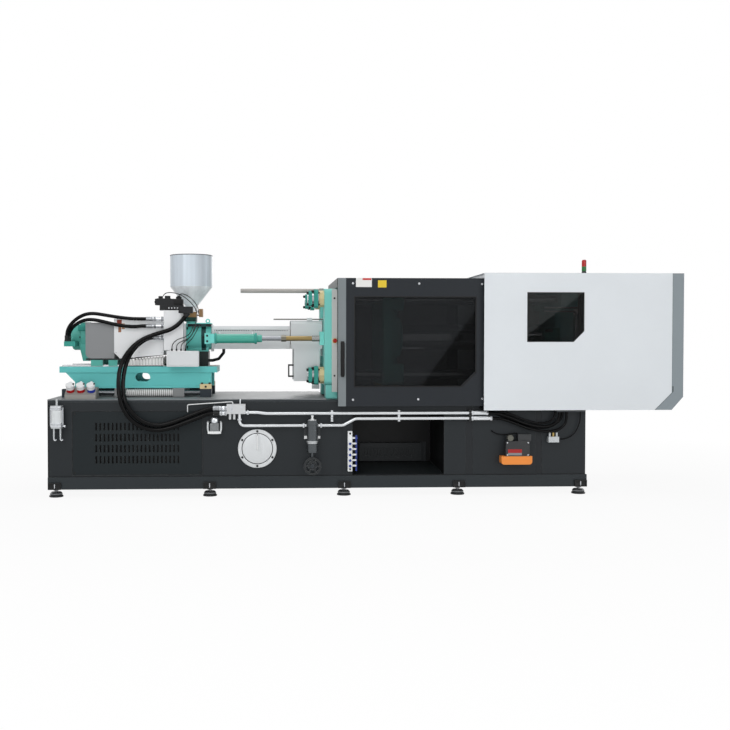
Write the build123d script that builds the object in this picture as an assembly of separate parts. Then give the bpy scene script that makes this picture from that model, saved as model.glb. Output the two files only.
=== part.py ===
from build123d import *
import math
import os

# Injection moulding machine, in millimetres. X runs from the injection end to the clamp end, +Z is up.
# The origin is on the floor, midway along the machine, under the machine axis.

# Base
base_left_x = -2600.0
base_depth = 1200.0
foot_height = 65.0
rail_height = 100.0
rail_proud = 10.0
base_top_z = 790.0
deck_thickness = 15.0
sheet = 6.0
member = 80.0
tray_thickness = 8.0
tray_length = 2264.0
foot_pad_radius = 57.0
foot_pad_height = 40.0
foot_stud_radius = 12.0
foot_inset = 50.0
foot_stations = (57.0, 1310.0, 2413.0, 3360.0)
last_foot_inset = 42.0

# Louvred panels
louvre_start = 197.0
louvre_length = 1053.0
louvre_bottom_z = 179.0
louvre_height = 523.0
louvre_columns = 21
louvre_rows = 4
louvre_pitch_x = 33.2
louvre_pitch_z = 90.0
louvre_slot_width = 14.0
louvre_slot_height = 60.0

# Drop opening under the mould space
drop_left_x = -120.0
drop_length = 757.0
drop_top_z = 670.0
drop_half_width = 215.0
chute_rise = 30.0
chute_depth = 700.0

# Bay right of the drop opening, and the panel joints in its front
clamp_bay_length = 1183.0
band_starts = (183.0, 762.0)
band_width = 55.0

# Machine axis, platens and tie bars
axis_z = 1305.0
platen_face_x = -170.0
platen_thickness = 170.0
platen_half_width = 430.0
platen_half_height = 405.0
platen_corner = 45.0
platen_pocket_depth = 60.0
foot_block_thickness = 104.0
foot_half_width = 80.0
tie_bar_radius = 33.0
tie_bar_y = 320.0
tie_bar_z = 323.0
running = 0.05
seat_gap = 0.3
locating_radius = 62.5
locating_depth = 20.0
mould_hole_radius = 7.0
mould_hole_depth = 40.0
mould_hole_y = 140.0
mould_hole_z = 210.0
mould_gap = 325.0
moving_plate_thickness = 75.0
moving_thickness = 170.0
ram_radius = 115.0
ram_engagement = 200.0
tail_inset = 160.0
tail_thickness = 160.0
cylinder_radius = 200.0
cylinder_length = 580.0
cylinder_wall = 45.0
nut_radius = 70.0
nut_length = 43.0
way_height = 25.0
way_width = 90.0
way_y = 330.0
ejector_radius = 90.0
ejector_plate = 20.0
ejector_rod_radius = 20.0

# Guards
gate_left_x = -241.0
gate_length = 1226.0
gate_bottom_z = 739.0
gate_top_z = 1785.0
gate_clearance = 20.0
gate_thickness = 35.0
window_left = 137.0
window_right = 1124.0
window_bottom_z = 905.0
window_top_z = 1627.0
window_chamfer = 116.0
window_thickness = 5.0
guard_member = 50.0
guard_frame_inset = 15.0
gate_rail_depth = 15.0
gate_rail_height = 24.0
gate_rail_z = 1752.0
gate_handle_x = 33.0
gate_handle_z = 979.0
gate_handle_length = 290.0
gate_handle_reach = 40.0
gate_handle_radius = 13.0

# Cowl
cowl_left_x = 947.0
cowl_overhang = 780.0
cowl_clearance = 45.0
cowl_sheet = 4.0
cowl_bottom_z = 705.0
cowl_top_z = 1827.0
cowl_end_length = 95.0
cowl_chamfer = 142.0
cowl_window_left = 353.0
cowl_window_length = 473.0
cowl_window_bottom_z = 1264.0
cowl_window_top_z = 1670.0
cowl_window_chamfer = 88.0

# Injection unit
beam_left_x = -2571.0
beam_right_x = -1245.0
beam_top_z = 1056.0
beam_flange = 52.0
beam_half_width = 260.0
beam_web = 20.0
beam_bottom_z = 873.0
unit_rod_radius = 21.5
unit_rod_y = 280.0
unit_rod_z = 834.0
front_support_x = -1387.0
support_length = 98.0
rear_support_x = -2540.0
slider_length = 94.0
front_slider_x = -1612.0
rear_slider_x = -2102.0
way_rail_width = 26.0
way_rail_height = 14.0
way_rail_y = 225.0
shoe_height = 41.0
seat_left_x = -1506.0
seat_length = 205.0
seat_radius = 109.0
front_plate = 20.0
barrel_radius = 55.0
bore_radius = 25.0
barrel_end_x = -470.0
nozzle_tip_x = -215.0
nozzle_radius = 30.0
band_radius = 66.0
hopper_x = -1478.5
hopper_radius = 182.0
hopper_wall = 4.0
hopper_cylinder_height = 269.0
hopper_cone_height = 173.0
hopper_neck_height = 45.0
hopper_neck_radius = 48.0
throat_radius = 28.0
throat_rise = 135.0
slide_body_height = 84.0
slide_plate = 12.0
lid_thickness = 6.0

# Drive on the beam
motor_left_x = -2517.0
motor_radius = 130.0
drive_cover_x = -2351.0
drive_cover_length = 241.0
drive_cover_top_z = 1427.0
drive_bottom_z = 1124.0
drive_panel_end_x = -1696.0
motor_port_z = 1268.0
outer_hose_start = (-1503.0, -345.0, 1478.0)
drive_panel_top_z = 1459.0
drive_panel_y = 270.0
drive_panel_rise = 30.0
spindle_depth = 60.0
spindle_radius = 30.0
injection_cylinder_y = 170.0
injection_cylinder_radius = 42.0
injection_rod_radius = 22.0

# Traverse cylinders
traverse_y = 300.0
traverse_z = 1293.0
traverse_left_x = -1262.0
traverse_length = 355.0
traverse_radius = 40.5
traverse_bore = 30.0
traverse_rod_radius = 18.0

# Guards round the barrel
barrel_guard_x = -1291.0
barrel_guard_length = 670.0
barrel_guard_y = 170.0
barrel_guard_bottom_z = 1203.0
barrel_guard_top_z = 1400.0
hood_sheet = 4.0
hood_chamfer = 25.0
purge_x = -616.0
purge_length = 270.0
purge_y = 192.0
purge_top_z = 1446.0
purge_panel_bottom_z = 927.0
guard_rail_radius = 6.0
guard_rail_length = 424.0

# Pump unit in the base
pump_y = 100.0
pump_bed = 12.0
pump_motor_inset = 860.0
pump_motor_length = 380.0
pump_motor_flange = 20.0
pump_shaft_radius = 19.0
pump_shaft_reach = 50.0
pump_shaft_gap = 40.0
pump_length = 180.0
coupling_grip = 25.0

# Oil and air fittings on the base front
pipe_y = 640.0
pipe_radius = 12.0
upper_pipe_z = 681.0
lower_pipe_z = 637.0
filter_x = -452.0
filter_radius = 48.0
tank_cover_x = -901.0
tank_cover_z = 392.0
tank_cover_radius = 158.0
coupling_x = 857.0
socket_box_x = -2466.0
socket_box_length = 251.0
socket_inset = 41.0
socket_pitch = 84.0
lid_hinge_y = 41.5
lid_hinge_z = 47.0
bulkhead_z0 = 688.0
oil_block_y = 318.0
main_port_reach = 57.0
motor_port_reach = 117.0

half_depth = base_depth / 2
front_y = -half_depth
rail_top_z = foot_height + rail_height
tray_top_z = base_top_z + tray_thickness
tray_right_x = base_left_x + tray_length
drop_right_x = drop_left_x + drop_length
base_right_x = drop_right_x + clamp_bay_length
foot_xs = [base_left_x + station for station in foot_stations] + [base_right_x - last_foot_inset]
platen_back_x = platen_face_x - platen_thickness
moving_face_x = platen_face_x + mould_gap
moving_back_x = moving_face_x + moving_thickness
tail_face_x = base_right_x - tail_inset
tail_back_x = tail_face_x + tail_thickness
cowl_right_x = base_right_x + cowl_overhang
gate_right_x = gate_left_x + gate_length
gate_inner_y = half_depth + gate_clearance
gate_outer_y = gate_inner_y + gate_thickness
guard_frame_y = half_depth - guard_frame_inset
cowl_half_depth = gate_outer_y + cowl_clearance
slide_body_z = axis_z + throat_rise
hopper_neck_z = slide_body_z + slide_body_height + hopper_neck_height
hopper_cylinder_z = hopper_neck_z + hopper_cone_height
hopper_top_z = hopper_cylinder_z + hopper_cylinder_height
seat_right_x = seat_left_x + seat_length
traverse_right_x = traverse_left_x + traverse_length
drive_panel_x = drive_cover_x + drive_cover_length
pump_z = rail_top_z + 200
pump_motor_x = base_right_x - pump_motor_inset
pump_shaft_x = pump_motor_x + pump_motor_length + pump_motor_flange + pump_shaft_reach
pump_x = pump_shaft_x + pump_shaft_gap + pump_shaft_reach

parts = {}


def block(x0, x1, y0, y1, z0, z1):
    """A box between two corners."""
    return Pos((x0 + x1) / 2, (y0 + y1) / 2, (z0 + z1) / 2) * Box(x1 - x0, y1 - y0, z1 - z0)


def rod_x(x0, x1, y, z, radius):
    return Pos((x0 + x1) / 2, y, z) * Rot(0, 90, 0) * Cylinder(radius, x1 - x0)


def rod_y(x, y0, y1, z, radius):
    return Pos(x, (y0 + y1) / 2, z) * Rot(90, 0, 0) * Cylinder(radius, y1 - y0)


def rod_z(x, y, z0, z1, radius):
    return Pos(x, y, (z0 + z1) / 2) * Cylinder(radius, z1 - z0)


def plate_xz(points, y0, y1):
    """An outline in X and Z, extruded along Y."""
    plane = Plane(origin=(0, y1, 0), x_dir=(1, 0, 0), z_dir=(0, -1, 0))
    return extrude(plane * make_face(Polyline(*points, close=True)), y1 - y0)


def plate_yz(points, x0, x1):
    """An outline in Y and Z, extruded along X."""
    plane = Plane(origin=(x0, 0, 0), x_dir=(0, 1, 0), z_dir=(1, 0, 0))
    return extrude(plane * make_face(Polyline(*points, close=True)), x1 - x0)


def cut_corner(x0, x1, z0, z1, cut):
    """A rectangle in X and Z with its lower right corner cut at 45 degrees."""
    return [(x0, z0), (x1 - cut, z0), (x1, z0 + cut), (x1, z1), (x0, z1)]


def turned(points, location):
    """A profile of radius and height, turned about its own vertical axis, then placed."""
    face = Plane.XZ * make_face(Polyline(*points, close=True))
    return location * revolve(face, Axis.Z)


def both_sides(shape):
    """The shape and its mirror image behind the machine's middle plane."""
    return [shape, mirror(shape, Plane.XZ)]


def group(shapes):
    flat = []
    for shape in shapes:
        flat.extend(shape.solids())
    return Compound(children=flat) if len(flat) > 1 else flat[0]


def tie_bar_places():
    return [(side * tie_bar_y, axis_z + up * tie_bar_z) for side in (-1, 1) for up in (-1, 1)]


def hose(points, radius):
    """A tube along straight runs joined by tangent arcs, as large as the runs allow."""
    vectors = [Vector(*point) for point in points]
    radii = []
    for before, corner, after in zip(vectors, vectors[1:], vectors[2:]):
        turn = (corner - before).get_angle(after - corner)
        shorter = min((corner - before).length, (after - corner).length)
        radii.append(0.45 * shorter / math.tan(math.radians(turn) / 2))
    path = FilletPolyline(*vectors, radius=radii)
    section = Plane(path @ 0, z_dir=path % 0) * Circle(radius)
    tube = sweep(section, path)
    share = tube.volume / (math.pi * radius ** 2 * path.length)
    print("hose length", round(path.length), "volume share", round(share, 4), "radii",
          [round(r) for r in radii])
    return tube


# Base


def base_frame():
    rail_y = half_depth + rail_proud
    inner_y = rail_y - member
    side_y = half_depth - sheet
    pieces = []
    for side in (-1, 1):
        pieces.append(block(base_left_x, base_right_x + rail_proud, min(side * inner_y, side * rail_y),
                            max(side * inner_y, side * rail_y), foot_height, rail_top_z))
    for x in (base_left_x, *foot_xs[1:-1], base_right_x + rail_proud - member):
        pieces.append(block(x, x + member, -inner_y, inner_y, foot_height, rail_top_z))
    posts = (base_left_x, base_left_x + louvre_start + louvre_length + sheet, drop_left_x - member - sheet,
             drop_right_x + sheet, base_right_x - member)
    for x in posts:
        pieces.extend(both_sides(block(x, x + member, -side_y, -side_y + member, rail_top_z,
                                       base_top_z - deck_thickness)))
    deck_y = drop_half_width
    deck_z = base_top_z - deck_thickness
    pieces.extend(both_sides(block(base_left_x, base_right_x, -half_depth, -deck_y, deck_z, base_top_z)))
    pieces.append(block(base_left_x, drop_left_x, -deck_y, deck_y, deck_z, base_top_z))
    pieces.append(block(drop_right_x, base_right_x, -deck_y, deck_y, deck_z, base_top_z))
    bed = (foot_xs[-2], base_right_x - sheet - 14)
    pieces.append(block(*bed, pump_y - 160, pump_y + 160, rail_top_z, rail_top_z + pump_bed))
    return group(pieces)


def side_panels():
    """Front skin: louvre frame, sheet with the tank opening, lintel, and sheets right of the opening."""
    y0, y1 = front_y, front_y + sheet
    top = base_top_z - deck_thickness
    louvre_x0 = base_left_x + louvre_start
    louvre_x1 = louvre_x0 + louvre_length
    louvre_top = louvre_bottom_z + louvre_height
    pieces = [block(base_left_x, louvre_x0, y0, y1, rail_top_z, top),
              block(louvre_x0, louvre_x1, y0, y1, louvre_top, top),
              block(louvre_x0, louvre_x1, y0, y1, rail_top_z, louvre_bottom_z),
              block(drop_left_x, drop_right_x, y0, y1, drop_top_z, top)]
    middle = block(louvre_x1, drop_left_x, y0, y1, rail_top_z, top)
    middle -= rod_y(tank_cover_x, y0 - 1, y1 + 1, tank_cover_z, tank_cover_radius - 20)
    pieces.append(middle)
    x = drop_right_x
    for start in band_starts:
        pieces.append(block(x, drop_right_x + start, y0, y1, rail_top_z, top))
        x = drop_right_x + start + band_width
        pieces.append(block(drop_right_x + start, x, y0 + sheet / 2, y1, rail_top_z, top))
    pieces.append(block(x, base_right_x, y0, y1, rail_top_z, top))
    return pieces


def rear_panels():
    y0, y1 = half_depth - sheet, half_depth
    top = base_top_z - deck_thickness
    louvre_x0 = base_left_x + louvre_start
    louvre_x1 = louvre_x0 + louvre_length
    louvre_top = louvre_bottom_z + louvre_height
    return [block(base_left_x, louvre_x0, y0, y1, rail_top_z, top),
            block(louvre_x0, louvre_x1, y0, y1, louvre_top, top),
            block(louvre_x0, louvre_x1, y0, y1, rail_top_z, louvre_bottom_z),
            block(louvre_x1, drop_left_x, y0, y1, rail_top_z, top),
            block(drop_left_x, drop_right_x, y0, y1, rail_top_z, top),
            block(drop_right_x, base_right_x, y0, y1, rail_top_z, top)]


def end_panels():
    side_y = half_depth - sheet
    top = base_top_z - deck_thickness
    left = block(base_left_x, base_left_x + sheet, -side_y + member, side_y - member, rail_top_z, top)
    right = block(base_right_x - sheet, base_right_x, -side_y + member, side_y - member, rail_top_z, top)
    return [left, right]


def louvre_panel():
    """Sheet with rows of vertical slots, seated in the frame of the front skin."""
    x0 = base_left_x + louvre_start
    y0 = front_y + sheet / 2
    y1 = y0 + sheet / 2
    z_mid = louvre_bottom_z + louvre_height / 2
    panel = block(x0, x0 + louvre_length, y0, y1, louvre_bottom_z, louvre_bottom_z + louvre_height)
    first_x = x0 + louvre_length / 2 - (louvre_columns - 1) * louvre_pitch_x / 2
    first_z = z_mid - (louvre_rows - 1) * louvre_pitch_z / 2
    slots = [block(first_x + i * louvre_pitch_x - louvre_slot_width / 2,
                   first_x + i * louvre_pitch_x + louvre_slot_width / 2, y0 - 1, y1 + 1,
                   first_z + j * louvre_pitch_z - louvre_slot_height / 2,
                   first_z + j * louvre_pitch_z + louvre_slot_height / 2)
             for i in range(louvre_columns) for j in range(louvre_rows)]
    return panel - slots


def base_tray():
    """Light cover sheet on the injection end."""
    return block(base_left_x, tray_right_x, -half_depth, half_depth, base_top_z, tray_top_z)


def foot_places():
    y = half_depth - foot_inset
    return [(x, side * y) for x in foot_xs for side in (-1, 1)]


def feet():
    r, h = foot_pad_radius, foot_pad_height
    profile = ((0, 0), (r, 0), (r, h / 4), (r * 0.88, h / 3), (r * 0.88, h * 0.72), (r * 0.7, h),
               (foot_stud_radius, h), (foot_stud_radius, foot_height), (0, foot_height))
    return group([turned(profile, Pos(x, y, 0)) for x, y in foot_places()])


def foot_nuts():
    """Lock nuts on the studs of the levelling feet."""
    nut = 12.0
    nut_z = foot_pad_height + nut
    ring = [rod_z(x, y, nut_z, nut_z + nut, foot_stud_radius * 1.9)
            - rod_z(x, y, nut_z - 1, nut_z + nut + 1, foot_stud_radius + running) for x, y in foot_places()]
    return group(ring)


def drop_chute():
    """Sloping floor, side walls and back wall of the bay under the mould space."""
    back_y = front_y + chute_depth
    wall = sheet
    top = base_top_z - deck_thickness
    floor_z = rail_top_z
    rear_z = floor_z + chute_rise
    slope = [(front_y, floor_z), (back_y, rear_z), (back_y, rear_z + wall), (front_y, floor_z + wall)]
    floor = plate_yz(slope, drop_left_x, drop_right_x)
    side = [(front_y + wall, floor_z), (back_y, floor_z), (back_y, top), (front_y + wall, top)]
    left = plate_yz(side, drop_left_x - wall, drop_left_x)
    right = plate_yz(side, drop_right_x, drop_right_x + wall)
    back = block(drop_left_x - wall, drop_right_x + wall, back_y, back_y + wall, floor_z, top)
    return group([floor, left, right, back])


def vent_box():
    """Slotted box on the back wall of the bay."""
    back_y = front_y + chute_depth
    x0, x1 = drop_left_x + 117, drop_right_x - 85
    z0 = rail_top_z + chute_rise + sheet + 5
    box = block(x0, x1, back_y - 60, back_y, z0, z0 + 160)
    count = 16
    pitch = (x1 - x0 - 90) / count
    slots = [block(x0 + 30 + i * pitch, x0 + 30 + i * pitch + pitch * 0.55, back_y - 61, back_y - 54,
                   z0 + 45, z0 + 115) for i in range(count)]
    return box - slots


def oil_tank():
    wall = 5.0
    y0, y1 = front_y + sheet, half_depth - sheet - member
    x0 = base_left_x + louvre_start + louvre_length + sheet + member
    x1 = drop_left_x - member - sheet
    z1 = base_top_z - deck_thickness - 25
    tank = block(x0, x1, y0, y1, rail_top_z, z1)
    tank -= block(x0 + wall, x1 - wall, y0 + wall, y1 - wall, rail_top_z + wall, z1 - wall)
    tank -= rod_y(tank_cover_x, y0 - 1, y0 + wall + 1, tank_cover_z, tank_cover_radius - 20)
    return tank


def tank_cover():
    cover = rod_y(tank_cover_x, front_y - 14, front_y, tank_cover_z, tank_cover_radius)
    cover -= rod_y(tank_cover_x, front_y - 15, front_y - 9, tank_cover_z, tank_cover_radius - 31)
    return cover


def tank_cover_bolts():
    heads = []
    ring = tank_cover_radius - 16
    for i in range(6):
        angle = math.radians(30 + 60 * i)
        x = tank_cover_x + ring * math.cos(angle)
        z = tank_cover_z + ring * math.sin(angle)
        heads.append(rod_y(x, front_y - 24, front_y - 14, z, 9))
    return group(heads)


def bar_handle(x, y, z0, z1, reach, radius):
    """A vertical pull handle on a front face: two legs and a bar between them."""
    inset = radius
    bar = rod_z(x, y - reach + radius, z0, z1, radius)
    legs = [rod_y(x, y - reach + radius, y, z, radius * 0.8) for z in (z0 + inset, z1 - inset)]
    return bar + legs


def tank_cover_handle():
    return bar_handle(tank_cover_x, front_y - 9, tank_cover_z - 10, tank_cover_z + 120, 45, 6)


# Fittings on the base front


def breather():
    x, z = -1249.0, 614.0
    y = front_y - 30
    body = Pos(x, y, z - 5) * extrude(RegularPolygon(30, 6), 38)
    neck = rod_z(x, y, z - 75, z - 5, 14)
    bracket = block(x - 53, x + 53, front_y - 60, front_y, z - 95, z - 75)
    return group([body + neck + bracket])


def oil_filter():
    y = front_y - filter_radius - 2
    top = 626.0
    body = filter_radius * 0.92
    profile = ((0, 0), (filter_radius * 0.86, 0), (body, 12), (body, 85), (filter_radius, 88),
               (filter_radius, 102), (body, 105), (body, 225), (filter_radius, 228), (filter_radius, 263),
               (0, 263))
    can = turned(profile, Pos(filter_x, y, top - 263))
    bracket = block(filter_x - 66, filter_x + 66, front_y - 6, front_y, top - 155, top - 20)
    web = block(filter_x - 20, filter_x + 20, y + filter_radius * 0.8, front_y - 6, top - 30, top - 5)
    return group([can + web + bracket])


def filter_valve():
    z = 253.0
    body = rod_y(filter_x, front_y - 28, front_y, z, 40)
    stem = rod_y(filter_x, front_y - 62, front_y - 28, z, 8)
    riser = rod_z(filter_x, front_y - 16, z + 30, 358, 10)
    return group([body + stem + riser])


def valve_wheel():
    z = 253.0
    y0, y1 = front_y - 78, front_y - 62
    rim = rod_y(filter_x, y0, y1, z, 72) - rod_y(filter_x, y0 - 1, y1 + 1, z, 56)
    hub = rod_y(filter_x, y0, y1, z, 18)
    centre = Pos(filter_x, (y0 + y1) / 2, z)
    spokes = [centre * Rot(0, 60 * i, 0) * Box(120, y1 - y0 - 6, 12) for i in range(3)]
    return rim + hub + spokes


def oil_manifold():
    x0, x1, z0, z1 = -1148.0, -997.0, 680.0, 760.0
    body = block(x0, x1, front_y - 66, front_y, z0, z1)
    fittings = [rod_x(x0 - 84, x0, -660, z, 19) for z in (726, 686)]
    stubs = [rod_z(x0 + 26 + 34 * i, -pipe_y, z0 - 45, z0, 11) for i in range(2)]
    return body + fittings + stubs


def oil_pipes():
    """Two steel pipes along the base front, the lower one through the filter, and two thin risers."""
    y = -pipe_y
    upper = [(-997, y, 690), (-900, y, 690), (-830, y, upper_pipe_z), (coupling_x, y, upper_pipe_z)]
    lower = [(-1045, y, 680), (-1045, y, 583), (filter_x - filter_radius - seat_gap, y, 583)]
    outlet = [(filter_x + filter_radius + seat_gap, y, 583), (-200, y, 583), (-100, y, lower_pipe_z),
              (coupling_x, y, lower_pipe_z)]
    pieces = []
    for points, bend in ((upper, 120), (lower, 40), (outlet, 60)):
        path = FilletPolyline(*points, radius=bend)
        pieces.append(sweep(Plane(path @ 0, z_dir=path % 0) * Circle(pipe_radius), path))
    return group(pieces)


def pipe_couplings():
    return group([rod_x(coupling_x, coupling_x + 137, -pipe_y, upper_pipe_z, 17),
                  rod_x(coupling_x, coupling_x + 171, -pipe_y, lower_pipe_z, 17)])


def pipe_clamps():
    pieces = []
    for x in (-300.0, 250.0, 836.0):
        clamp = block(x, x + 18, front_y - 60, front_y, lower_pipe_z - 24, upper_pipe_z + 24)
        clamp -= [rod_x(x - 1, x + 19, -pipe_y, z, pipe_radius + running)
                  for z in (upper_pipe_z, lower_pipe_z)]
        clamp -= block(x - 1, x + 19, front_y - 61, -pipe_y, lower_pipe_z - 30, upper_pipe_z + 30)
        pieces.append(clamp)
    return group(pieces)


def hose_bulkhead():
    """Block under the cowl's lower edge where the clamp hoses and the lubrication tube go in."""
    return block(1560, 1795, front_y - 58, front_y, bulkhead_z0, bulkhead_z0 + 40)


def clamp_hoses():
    y = -pipe_y
    end_z = bulkhead_z0
    first = [(coupling_x + 137, y, upper_pipe_z), (coupling_x + 203, y, upper_pipe_z), (1170, y - 3, 648),
             (1295, y - 5, 592), (1420, y - 5, 566), (1505, y - 3, 568), (1562, y - 1, 598), (1590, y, 642),
             (1590, y, end_z)]
    second = [(coupling_x + 171, y, lower_pipe_z), (coupling_x + 238, y, lower_pipe_z), (1205, y - 2, 600),
              (1335, y - 3, 548), (1460, y - 3, 524), (1555, y - 2, 528), (1620, y - 1, 564), (1650, y, 614),
              (1650, y, end_z)]
    return hose(first, 11), hose(second, 11)


def lubricator():
    x, y = -2515.0, front_y - 48
    lid = rod_z(x, y, 727, 751, 46)
    stem = rod_z(x, y, 751, 800, 9)
    clamp = rod_z(x, y, 568, 600, 46)
    bracket = block(x - 20, x + 20, y + 30, front_y, 731, 747)
    lower = [rod_z(x + dx, y, 500, 568, 7) for dx in (-24, 28)]
    return group([lid + stem + bracket, clamp + lower])


def lubricator_bowl():
    x, y = -2515.0, front_y - 48
    return rod_z(x, y, 600, 727, 46) - rod_z(x, y, 604, 728, 42)


def lube_pump():
    y0 = front_y - 84
    body = block(1134, 1330, y0, front_y, 327, 450)
    valve = block(1239, 1348, front_y - 64, front_y, 450, 505)
    gauge = rod_y(1170, front_y - 70, front_y - 40, 478, 24)
    neck = block(1160, 1180, front_y - 60, front_y - 30, 450, 462)
    return group([body + valve + gauge + neck])


def lube_tank():
    y0, y1 = front_y - 90, front_y - 4
    tank = block(1097, 1351, y0, y1, 259, 327)
    return fillet(tank.edges().filter_by(Axis.Y).group_by(Axis.Z)[0], 24)


def lube_distributor():
    body = block(1497, 1585, front_y - 50, front_y, 436, 483)
    tops = [rod_z(1512 + 29 * i, front_y - 28, 483, 516, 9) for i in range(3)]
    return body + tops


def lube_tube():
    y = front_y - 28
    points = [(1585, y, 460), (1622, y, 460), (1675, y, 474), (1722, y, 510), (1752, y, 565), (1768, y, 625),
              (1768, y, bulkhead_z0)]
    return hose(points, 5)


def water_manifold():
    body = block(-161, -124, front_y - 36, front_y, 204, 534)
    nipples = [rod_x(-124, -90, front_y - 18, 477 - 45.6 * i, 8) for i in range(6)]
    return body + nipples


def socket_box():
    profile = [(-585, tray_top_z), (-425, tray_top_z), (-425, 890), (-490, 890), (-585, 835)]
    return plate_yz(profile, socket_box_x, socket_box_x + socket_box_length)


def socket_places():
    tilt = math.degrees(math.atan2(890 - 835, 585 - 490))
    first = socket_box_x + socket_inset
    return [Pos(first + socket_pitch * i, -537.5, 862.5) * Rot(tilt, 0, 0) for i in range(3)]


def socket_bodies():
    pieces = []
    for place in socket_places():
        body = Cylinder(33, 52, align=(Align.CENTER, Align.CENTER, Align.MIN))
        body -= Pos(0, 0, 20) * Cylinder(27, 40, align=(Align.CENTER, Align.CENTER, Align.MIN))
        ears = [Pos(dx, 38, 40) * Box(5, 18, 24) for dx in (-11, 11)]
        pin = Pos(0, lid_hinge_y, lid_hinge_z) * Rot(0, 90, 0) * Cylinder(2.5, 20)
        pieces.append(place * (body + ears + pin))
    return group(pieces)


def socket_lid(place):
    lid = Pos(0, 0, 52.3) * Cylinder(35, 12, align=(Align.CENTER, Align.CENTER, Align.MIN))
    arm = Pos(0, lid_hinge_y - 2, 58.3) * Box(16, 15, 12)
    lug = Pos(0, lid_hinge_y, lid_hinge_z) * Rot(0, 90, 0) * Cylinder(7, 16)
    neck = Pos(0, lid_hinge_y, lid_hinge_z + 4) * Box(16, 12, 8)
    lid = lid + arm + neck + lug
    lid -= Pos(0, lid_hinge_y, lid_hinge_z) * Rot(0, 90, 0) * Cylinder(2.5 + running, 30)
    return place * lid


# Clamp unit


def platen_blank(x0, x1):
    outline = Plane(origin=(x0, 0, axis_z), x_dir=(0, 1, 0), z_dir=(1, 0, 0)) * RectangleRounded(
        2 * platen_half_width, 2 * platen_half_height, platen_corner)
    return extrude(outline, x1 - x0)


def tie_holes(x0, x1, clearance):
    return [rod_x(x0, x1, y, z, tie_bar_radius + clearance) for y, z in tie_bar_places()]


def mould_holes(face_x, inward):
    x0, x1 = sorted((face_x - inward, face_x + inward * mould_hole_depth))
    return [rod_x(x0, x1, side * mould_hole_y, axis_z + up * mould_hole_z, mould_hole_radius)
            for side in (-1, 1) for up in (-1, 1)]


def platen_pockets(x0, x1):
    """Cast pockets above and below the hub, each split by a rib."""
    pockets = []
    half = tie_bar_y - tie_bar_radius - 60
    rib = 18.0
    for up in (-1, 1):
        z_near = axis_z + up * 165
        z_far = axis_z + up * (platen_half_height - 45)
        for side in (-1, 1):
            y_near, y_far = side * rib, side * half
            pockets.append(block(x0, x1, min(y_near, y_far), max(y_near, y_far), min(z_near, z_far),
                                 max(z_near, z_far)))
    return pockets


def fixed_platen():
    platen = platen_blank(platen_back_x, platen_face_x)
    platen -= tie_holes(platen_back_x - 1, platen_face_x + 1, running)
    platen -= platen_pockets(platen_back_x - 1, platen_back_x + platen_pocket_depth)
    cone = turned(((0, -1), (95, -1), (40, 130), (40, platen_thickness + 1), (0, platen_thickness + 1)),
                  Pos(platen_back_x, 0, axis_z) * Rot(0, 90, 0))
    platen -= cone
    platen -= rod_x(platen_face_x - locating_depth, platen_face_x + 1, 0, axis_z, locating_radius)
    platen -= mould_holes(platen_face_x, -1)
    foot_z = axis_z - platen_half_height
    x0 = platen_back_x + 10
    x1 = x0 + foot_block_thickness
    foot = [block(x0, x1, side * way_y - foot_half_width, side * way_y + foot_half_width, base_top_z,
                  foot_z + 1) for side in (-1, 1)]
    return platen + foot


def traverse_lugs():
    lugs = []
    for side in (-1, 1):
        y = side * traverse_y
        lug = block(platen_back_x - 35, platen_back_x, y - 40, y + 40, traverse_z - 57, traverse_z + 57)
        lug -= rod_x(platen_back_x - 36, platen_back_x + 1, y, traverse_z, traverse_rod_radius + running)
        lugs.append(lug)
    return group(lugs)


def tie_bars():
    left = platen_back_x - nut_length - 95
    right = tail_back_x + nut_length + 20
    return group([rod_x(left, right, y, z, tie_bar_radius) for y, z in tie_bar_places()])


def tie_bar_nuts():
    nuts = []
    for x in (platen_back_x - nut_length, tail_back_x):
        for y, z in tie_bar_places():
            nut = Pos(x, y, z) * Rot(0, 90, 0) * extrude(RegularPolygon(nut_radius, 8), nut_length)
            nuts.append(nut - rod_x(x - 1, x + nut_length + 1, y, z, tie_bar_radius + running))
    return group(nuts)


def nut_retainers():
    """Two keep plates on each tie bar end, with a collar between them and the nut."""
    pieces = []
    first = platen_back_x - nut_length
    for y, z in tie_bar_places():
        for x1, thickness, half in ((first - 8, 34.0, 77.0), (first - 58, 31.0, 65.0)):
            plate = block(x1 - thickness, x1, y - half, y + half, z - half, z + half)
            plate = chamfer(plate.edges().filter_by(Axis.X), 14)
            pieces.append(plate - rod_x(x1 - thickness - 1, x1 + 1, y, z, tie_bar_radius + running))
        for x0, x1 in ((first - 8, first), (first - 58, first - 42)):
            ring = rod_x(x0, x1, y, z, 44) - rod_x(x0 - 1, x1 + 1, y, z, tie_bar_radius + running)
            pieces.append(ring)
    return group(pieces)


def platen_strip():
    """Side strip in front of the fixed platen, on two spacer blocks."""
    y0 = -platen_half_width - 32
    x0 = platen_back_x + 59
    strip = block(x0, x0 + 49, y0, y0 + 10, 846, 1702)
    spacers = [block(x0, x0 + 49, y0 + 10, -platen_half_width, z, z + 40) for z in (1000, 1254, 1560)]
    return strip + spacers


def stop_button_base():
    x, z = platen_back_x + 84, 1274.0
    y = -platen_half_width - 32
    base = rod_y(x, y - 12, y, z, 20)
    return base - rod_y(x, y - 13, y - 4, z, 9 + running)


def stop_button():
    x, z = platen_back_x + 84, 1274.0
    y = -platen_half_width - 32
    stem = rod_y(x, y - 20, y - 10.5, z, 9)
    head = rod_y(x, y - 32, y - 19, z, 17.5)
    return fillet((stem + head).edges().group_by(Axis.Y)[0], 4)


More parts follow.
